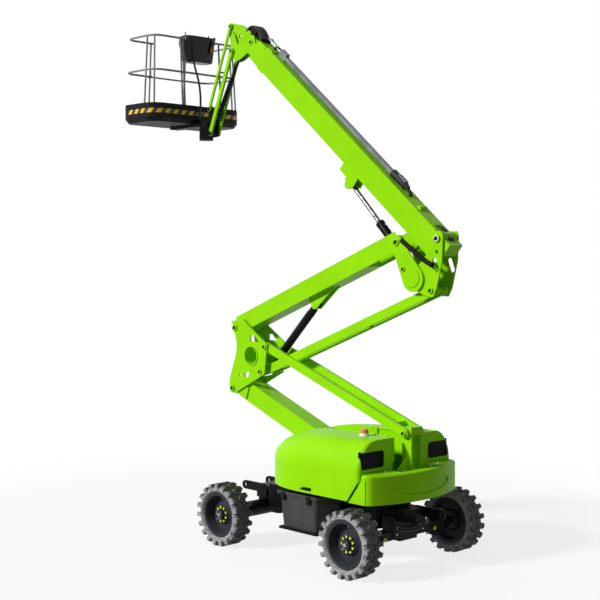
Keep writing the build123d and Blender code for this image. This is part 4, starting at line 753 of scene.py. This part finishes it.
class BOOMLIFT_OT_turret(bpy.types.Operator):
    """Add the hoods' grilles, backed by painted shade, and latches, the beacon's base and the counterweight's
    bolts
    """
    bl_idname = "boomlift.turret"
    bl_label = "Turret details"
    # grille, its slats in front of a black back sheet of painted shade: X from the hood's rear, Y on the left
    # hood, Z
    back_x, back_y, back_z = (0.040, 0.046), (0.41, 0.85), (1.285, 1.515)
    slat_x, slat_y, slat_height = (0.018, 0.042), (0.428, 0.832), 0.010
    slat_zs = np.arange(1.315, 1.50, 0.028)
    # latch: X from the slew axis, Y on the left hood, Z
    latch_x = -0.30
    plate_x, plate_y, plate_z = (-0.09, 0.05), (0.886, 0.896), (0.932, 0.972)
    handle_x, handle_y, handle_z = (-0.085, 0.085), (0.894, 0.912), (0.940, 0.962)
    fine_edge, handle_edge = 0.003, 0.006
    beacon_foot = ((0, 0.0), (0, 0.068), (0.012, 0.068), (0.016, 0.060), (0.036, 0.058), (0.038, 0.050))
    # counterweight's bolts: their deck, the two pairs' places and the head's size
    deck_z, front_y, tail_in, tail_y = 1.241, 0.5, 0.16, 0.26
    bolt_radius, bolt_height = 0.022, 0.018

    def execute(self, context):
        latch_at = pin("slew")[0] + self.latch_x
        for side, sign in SIDES:
            body = "hood_" + side
            rear = box(body)[0][0]
            # the first box is a black sheet of painted shade behind the slats, in place of the shaded inside
            # of the hood
            slats = [sided_box(np.add(rear, self.back_x), self.back_y, self.back_z, sign)]
            slats += [sided_box(np.add(rear, self.slat_x), self.slat_y, (z, z + self.slat_height), sign,
                                self.fine_edge) for z in self.slat_zs]
            cluster("hood_grille_and_painted_shade_" + side, slats, "black_polyethylene", body)
            latch = [sided_box(np.add(latch_at, self.plate_x), self.plate_y, self.plate_z, sign,
                               self.fine_edge),
                     sided_box(np.add(latch_at, self.handle_x), self.handle_y, self.handle_z, sign,
                               self.handle_edge)]
            cluster("hood_latches_" + side, latch, "black_polyethylene", body)
        low, high = box("beacon")
        centre = np.array([*((low + high) / 2)[:2], low[2]])
        cluster("beacon_base", [lathe(centre, SKY, self.beacon_foot, 40)], "white_plastic", "hood_left")
        tail = box("counterweight")[0][0]
        bolts = [prism((x, side * y, self.deck_z), SKY, self.bolt_radius, self.bolt_height)
                 for x, y in ((LINK_ROOT[0], self.front_y), (tail + self.tail_in, self.tail_y))
                 for side in (-1, 1)]
        cluster("counterweight_bolts", bolts, "zinc_plate", "turret")
        return {"FINISHED"}


class BOOMLIFT_OT_chassis(bpy.types.Operator):
    """Add the tubs' lids and latches, the grease caps, and the steered axle's hoses and bolts"""
    bl_idname = "boomlift.chassis"
    bl_label = "Chassis details"
    lid_inset, lid_sunk, lid_proud = 0.01, 0.002, 0.003
    # latches: places as shares of the tub's length, half width, Y from its outer wall, Z from its top
    latch_shares, latch_half, latch_y, latch_z = (0.2, 0.8), 0.03, (-0.012, 0.014), (-0.11, -0.004)
    # grease caps: on the king pin, and behind it on the axle at a share of its Y
    king_rise = 0.145
    king_cap = ((0, 0.0), (0, 0.032), (0.02, 0.030), (0.028, 0.018), (0.03, 0.0))
    axle_share, axle_offset = (1, 0.66, 1), (-0.095, 0, -0.02)
    axle_cap = ((0, 0.0), (0, 0.028), (0.018, 0.026), (0.024, 0.0))
    # axle hoses: their gap to the axle's face, then X from there, Y and Z
    hose_gap = 0.012
    hose_route = ((0.0, -0.29, 0.50), (-0.03, -0.14, 0.44), (-0.03, 0.14, 0.45), (0.0, 0.29, 0.51))
    hose_rises, hose_radius = (0.0, 0.035), 0.010
    bolt_ys, bolt_zs, bolt_size, bolt_sunk = (-0.25, 0.25), (0.43, 0.52), 0.012, 0.004

    def execute(self, context):
        for side, sign in SIDES:
            self.tub_lid(side, sign)
        caps = []
        for side, _ in SIDES:
            king = pin("steer_" + side)
            caps.append(lathe(king + self.king_rise * SKY, SKY, self.king_cap))
            caps.append(lathe(king * self.axle_share + self.axle_offset, REAR, self.axle_cap))
        cluster("grease_caps", caps, "indicator_plastic", "chassis")
        face = box("steer_axle")[0][0]
        start = np.array([face - self.hose_gap, 0.0, 0.0])
        lines = [tube_along(eased(start + self.hose_route + rise * SKY, 30), self.hose_radius)
                 for rise in self.hose_rises]
        cluster("axle_hoses", lines, "hose_rubber", "chassis", 60.0)
        bolts = [prism((face + self.bolt_sunk, y, z), REAR, self.bolt_size, self.bolt_size)
                 for y in self.bolt_ys for z in self.bolt_zs]
        cluster("axle_bolts", bolts, "zinc_plate", "chassis")
        return {"FINISHED"}

    def tub_lid(self, side, sign):
        """Thin lid on a tub with two latches over its outer edge."""
        low, high = box("tub_" + side)
        wall, top = max(sign * low[1], sign * high[1]), high[2]
        parts = [bevelled_box((*(low[:2] + self.lid_inset), top - self.lid_sunk),
                              (*(high[:2] - self.lid_inset), top + self.lid_proud))]
        for share in self.latch_shares:
            at = low[0] + share * (high[0] - low[0])
            parts.append(sided_box((at - self.latch_half, at + self.latch_half), np.add(wall, self.latch_y),
                                   np.add(top, self.latch_z), sign))
        cluster("tub_lid_" + side, parts, "black_polyethylene", "chassis")


class BOOMLIFT_OT_platform(bpy.types.Operator):
    """Add the hazard band, the ribbed floor, and the console with its controls, lamp and cable"""
    bl_idname = "boomlift.platform"
    bl_label = "Platform details"
    depth, corner = 0.85, 0.24
    # hazard band: how far it stands proud, its lower and upper edge below the rim, and its columns
    band_proud, band_drop, band_count = 0.0015, np.array([0.150, 0.085]), 160
    # floor mat: wall round it, its depth below the rim, and its bars
    wall, mat_drop, mat_end = 0.075, 0.2, 0.1
    mat_sunk, mat_proud, mat_edge = 0.004, 0.002, 0.002
    bar_count, bar_end, bar_inset, bar_half, bar_height = 34, 0.14, 0.03, 0.008, 0.006
    # console: profile as share of its height and of its half widths, and the power of its rounded plan
    tub_profile = np.array([(0, 0.0), (0, 0.74), (0.05, 0.84), (0.5, 0.92), (0.76, 0.955), (0.77, 1.0),
                            (0.80, 1.0), (0.96, 0.985), (1.0, 0.94), (1.0, 0.0)])
    tub_count, tub_power = 72, 0.55
    key = ((0, 0.0), (0, 0.016), (0.012, 0.014), (0.014, 0.0))
    key_xs, key_end, key_count, key_sunk = (-0.04, 0.03), 0.12, 6, 0.002
    lever_end, lever_sunk, lever_lean, lever_rise, lever_radius = 0.07, 0.01, 0.01, 0.06, 0.009
    # grip: half an ellipse in Y and Z on the console's left end
    grip_x, grip_sunk, grip_drop, grip_out, grip_half, grip_radius = -0.02, 0.01, 0.13, 0.07, 0.10, 0.013
    # lamp: its top from the console's corner, the two further points of its axis, and its radii
    lamp_at = (-0.014, 0.10, -0.02)
    lamp_points = ((0.0, 0.0, 0.0), (0.0, 0.035, -0.12), (0.0, 0.06, -0.215))
    lamp_axis, holder_radius, sleeve_radius = (0, -0.28, 0.96), 0.024, 0.020
    cap_radius, cap_height = 0.026, 0.02
    cord_radius, cord_in = 0.016, 0.16

    def execute(self, context):
        high = box("platform_base")[1]
        self.band(high)
        self.floor(high)
        self.console()
        self.cable(high)
        return {"FINISHED"}

    def band(self, high):
        """Hazard tape on the side that faces the machine and round to the two beside it, 1.5 mm proud."""
        x1, y1, r, lift = high[0], high[1], self.corner, self.band_proud
        x0 = x1 - self.depth
        turn = np.linspace(0, np.pi / 2, 13)
        arc = np.column_stack([x0 + r - (r + lift) * np.sin(turn), y1 - r + (r + lift) * np.cos(turn)])
        path = np.concatenate([[(x1 - r, y1 + lift)], arc, arc[::-1] * (1, -1), [(x1 - r, -y1 - lift)]])
        reach = np.concatenate([[0], np.cumsum(np.linalg.norm(np.diff(path, axis=0), axis=1))])
        fine = np.linspace(0, reach[-1], self.band_count)
        path = np.column_stack([np.interp(fine, reach, path[:, k]) for k in (0, 1)])
        heights = np.broadcast_to(high[2] - self.band_drop, (self.band_count, 2))[..., None]
        points = np.concatenate([np.repeat(path[:, None], 2, 1), heights], -1)
        uv = np.stack([np.repeat(fine[:, None] / reach[-1], 2, 1),
                       np.tile([0.0, 1.0], (self.band_count, 1))], -1)
        mesh = sheet_mesh("hazard_band", points, uv=uv.reshape(-1, 2))
        piece("hazard_band", mesh, "hazard_tape", "platform")

    def floor(self, high):
        """Ribbed rubber floor: a mat with a row of bars across."""
        x0, x1 = high[0] - self.depth + self.wall, high[0] - self.wall
        y1, z = high[1] - self.wall, high[2] - self.mat_drop
        side, last = y1 - self.mat_end, y1 - self.bar_end
        bars = [bevelled_box((x0, -side, z - self.mat_sunk), (x1, side, z + self.mat_proud), self.mat_edge)]
        for y in np.linspace(-last, last, self.bar_count):
            bars.append(bevelled_box((x0 + self.bar_inset, y - self.bar_half, z),
                                     (x1 - self.bar_inset, y + self.bar_half, z + self.bar_height),
                                     self.mat_edge))
        cluster("floor_mat", bars, "hose_rubber", "platform")

    def console(self):
        """Rounded tub with a lipped lid, keys and levers on it, a grip at its end and a lamp on its face.

        The tub's plan is a superellipse: each half width times a power of the angle's cosine or sine.
        """
        low, high = box("console")
        mid, top = (low + high) / 2, high[2]
        turn = circle(self.tub_count)
        plan = np.column_stack([np.cos(turn), np.sin(turn)])
        plan = np.sign(plan) * np.abs(plan) ** self.tub_power * ((high - low) / 2)[:2]
        share, width = self.tub_profile[:, :1], self.tub_profile[:, None, 1:]
        heights = np.broadcast_to(low[2] + share * (top - low[2]), (len(share), self.tub_count))
        heights = heights[..., None]
        points = np.concatenate([mid[:2] + width * plan[None], heights], -1)
        mesh = sheet_mesh("console_tub", points, closed=True)
        tub = piece("console_tub", mesh, "console_gloss", "platform", 40.0)
        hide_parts("console")
        key_ys = np.linspace(low[1] + self.key_end, high[1] - self.key_end, self.key_count)
        keys = [lathe((mid[0] + x, y, top - self.key_sunk), SKY, self.key, 20)
                for x in self.key_xs for y in key_ys]
        cluster("console_keys", keys, "white_plastic", "platform")
        trim = [tube_along([(mid[0], y, top - self.lever_sunk),
                            (mid[0] + self.lever_lean, y, top + self.lever_rise)], self.lever_radius)
                for y in (low[1] + self.lever_end, high[1] - self.lever_end)]
        bend = np.linspace(-np.pi / 2, np.pi / 2, 17)
        grip = np.column_stack([np.full_like(bend, mid[0] + self.grip_x),
                                high[1] - self.grip_sunk + self.grip_out * np.cos(bend),
                                top - self.grip_drop + self.grip_half * np.sin(bend)])
        trim.append(tube_along(grip, self.grip_radius))
        cluster("console_trim", trim, "hose_rubber", "platform", 50.0)
        ends = np.array([low[0], low[1], top]) + self.lamp_at + np.array(self.lamp_points)
        holder = [tube_along(ends[:2], self.holder_radius, 20),
                  prism(ends[0], self.lamp_axis, self.cap_radius, self.cap_height, 20)]
        cluster("lamp_holder", holder, "grey_polyethylene", "platform")
        cluster("lamp_sleeve", [tube_along(ends[1:], self.sleeve_radius, 20)], "orange_sleeve", "platform")

    def cable(self, high):
        """Cable that hangs from the console's underside and ends beside the base, 0.2 m below its rim."""
        low, top = box("console")
        face, rim, y = high[0] - self.depth, high[2], top[1] - self.cord_in
        cord = eased([(low[0] + 0.06, y, low[2] + 0.02), (low[0] + 0.03, y, low[2] - 0.10),
                      (face - 0.035, y - 0.03, (low[2] + rim) / 2), (face - 0.04, y - 0.05, rim),
                      (face - 0.03, y - 0.02, rim - 0.2)], 48)
        radius, length = self.cord_radius, float(np.linalg.norm(np.diff(cord, axis=0), axis=1).sum())
        cable = cluster("console_cord", [tube_along(cord, radius, 14)], "hose_rubber", "platform",
                        60.0)


class BOOMLIFT_OT_stage(bpy.types.Operator):
    """Set the pale floor, the soft studio light and the camera at the photograph's angle"""
    bl_idname = "boomlift.stage"
    bl_label = "Stage"
    view_aim, shift_px, image_px, sensor_mm, view_end = (0.7193, -0.6947, 0.0), -45.7, 600, 36.0, 200.0
    floor_gap, floor_clear, fade_from, fade_to = 0.0005, 0.8, 0.35, 0.95
    sky_strength = 0.18
    # lamps: name, direction of the light, strength and spread in degrees
    suns = (("key", (-0.30, -0.80, -0.50), 3.4, 8.0), ("rim", (-0.80, 0.30, -0.50), 0.25, 30.0))

    def execute(self, context):
        sizes = context.scene.boomlift_sizes
        low, high = CAD_BOX
        centre = ((low + high) / 2).xy
        radius = sizes.floor_radius
        u, v = np.meshgrid(np.linspace(0, 1, 9), np.linspace(0, 2 * np.pi, 97), indexing="ij")
        points = np.stack([centre.x + radius * u * np.cos(v), centre.y + radius * u * np.sin(v),
                           np.full_like(u, low.z - self.floor_gap)], -1)
        floor = bpy.data.objects.new("floor", sheet_mesh("floor", points))
        context.scene.collection.objects.link(floor)
        floor.data.materials.append(self.floor_paper(centre, radius))
        self.world(context)
        self.lamps(context)
        camera = bpy.data.objects.new("camera", bpy.data.cameras.new("camera"))
        context.scene.collection.objects.link(camera)
        camera.location = sizes.camera_at
        camera.rotation_euler = Vector(self.view_aim).to_track_quat("-Z", "Y").to_euler()
        camera.data.lens, camera.data.sensor_width = sizes.lens, self.sensor_mm
        camera.data.shift_y = self.shift_px / self.image_px
        camera.data.clip_end = self.view_end
        context.scene.camera = camera
        context.scene.view_settings.view_transform = "Standard"
        return {"FINISHED"}

    def floor_paper(self, centre, radius):
        """White paper, mostly clear: it keeps a faint shadow near the machine and fades out to its rim."""
        mat, tree, shader, coords = finish_base("floor_paper", Roughness=0.9, Specular_IOR_Level=0.0)
        shader.inputs["Base Color"].default_value = linear("#F4F4F4")
        local = add_node(tree, "ShaderNodeMapping",
                         {"Vector": coords, "Location": (-centre.x, -centre.y, 0.0)})
        reach = add_node(tree, "ShaderNodeVectorMath", {0: local.outputs["Vector"]}, operation="LENGTH")
        fade = add_node(tree, "ShaderNodeMapRange",
                        {"Value": reach.outputs["Value"], "From Min": radius * self.fade_from,
                         "From Max": radius * self.fade_to, "To Min": self.floor_clear},
                        interpolation_type="SMOOTHSTEP")
        clear = add_node(tree, "ShaderNodeBsdfTransparent")
        mix = add_node(tree, "ShaderNodeMixShader", {0: fade.outputs["Result"], 1: shader.outputs["BSDF"],
                                                     2: clear.outputs["BSDF"]})
        tree.links.new(mix.outputs["Shader"], tree.nodes["Material Output"].inputs["Surface"])
        return mat

    def world(self, context):
        """Even sky for light, plain white where the camera, gloss or glass sees it."""
        world = bpy.data.worlds.new("studio")
        context.scene.world = world
        world.use_nodes = True
        tree = world.node_tree
        light = tree.nodes["Background"]
        light.inputs["Color"].default_value = (1, 1, 1, 1)
        light.inputs["Strength"].default_value = self.sky_strength
        white = add_node(tree, "ShaderNodeBackground", {"Color": (1, 1, 1, 1), "Strength": 1.0})
        path = add_node(tree, "ShaderNodeLightPath").outputs
        seen = add_node(tree, "ShaderNodeMath", {0: path["Is Camera Ray"], 1: path["Is Glossy Ray"]},
                        operation="MAXIMUM")
        both = add_node(tree, "ShaderNodeMath", {0: seen.outputs["Value"], 1: path["Is Transmission Ray"]},
                        operation="MAXIMUM")
        mix = add_node(tree, "ShaderNodeMixShader", {0: both.outputs["Value"], 1: light.outputs["Background"],
                                                     2: white.outputs["Background"]})
        tree.links.new(mix.outputs["Shader"], tree.nodes["World Output"].inputs["Surface"])

    def lamps(self, context):
        """Key from the near left, as the photograph has it, and a faint rim from behind."""
        for name, aim, power, spread in self.suns:
            lamp = bpy.data.lights.new(name, "SUN")
            lamp.energy, lamp.angle = power, math.radians(spread)
            obj = bpy.data.objects.new(name, lamp)
            obj.rotation_euler = Vector(aim).to_track_quat("-Z", "Y").to_euler()
            context.scene.collection.objects.link(obj)


class BOOMLIFT_PT_panel(bpy.types.Panel):
    """Lists the steps that dress the machine"""
    bl_label = "Boom lift"
    bl_idname = "BOOMLIFT_PT_panel"
    bl_space_type = "VIEW_3D"
    bl_region_type = "UI"
    bl_category = "Boom lift"

    def draw(self, context):
        for group in (context.scene.boomlift_finish, context.scene.boomlift_sizes):
            for name in group.__annotations__:
                self.layout.prop(group, name)
        for step in STEPS:
            self.layout.operator(step.bl_idname)


STEPS = (BOOMLIFT_OT_finishes, BOOMLIFT_OT_wheels, BOOMLIFT_OT_pins, BOOMLIFT_OT_hoses, BOOMLIFT_OT_turret,
         BOOMLIFT_OT_chassis, BOOMLIFT_OT_platform, BOOMLIFT_OT_stage)
CLASSES = (BoomLiftFinish, BoomLiftSizes, *STEPS, BOOMLIFT_PT_panel)


def register():
    for cls in CLASSES:
        bpy.utils.register_class(cls)
    bpy.types.Scene.boomlift_finish = bpy.props.PointerProperty(type=BoomLiftFinish)
    bpy.types.Scene.boomlift_sizes = bpy.props.PointerProperty(type=BoomLiftSizes)


def unregister():
    del bpy.types.Scene.boomlift_finish, bpy.types.Scene.boomlift_sizes
    for cls in reversed(CLASSES):
        bpy.utils.unregister_class(cls)


def main():
    """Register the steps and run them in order."""
    register()
    for step in STEPS:
        group, name = step.bl_idname.split(".")
        getattr(getattr(bpy.ops, group), name)()


if __name__ == "__main__":
    main()
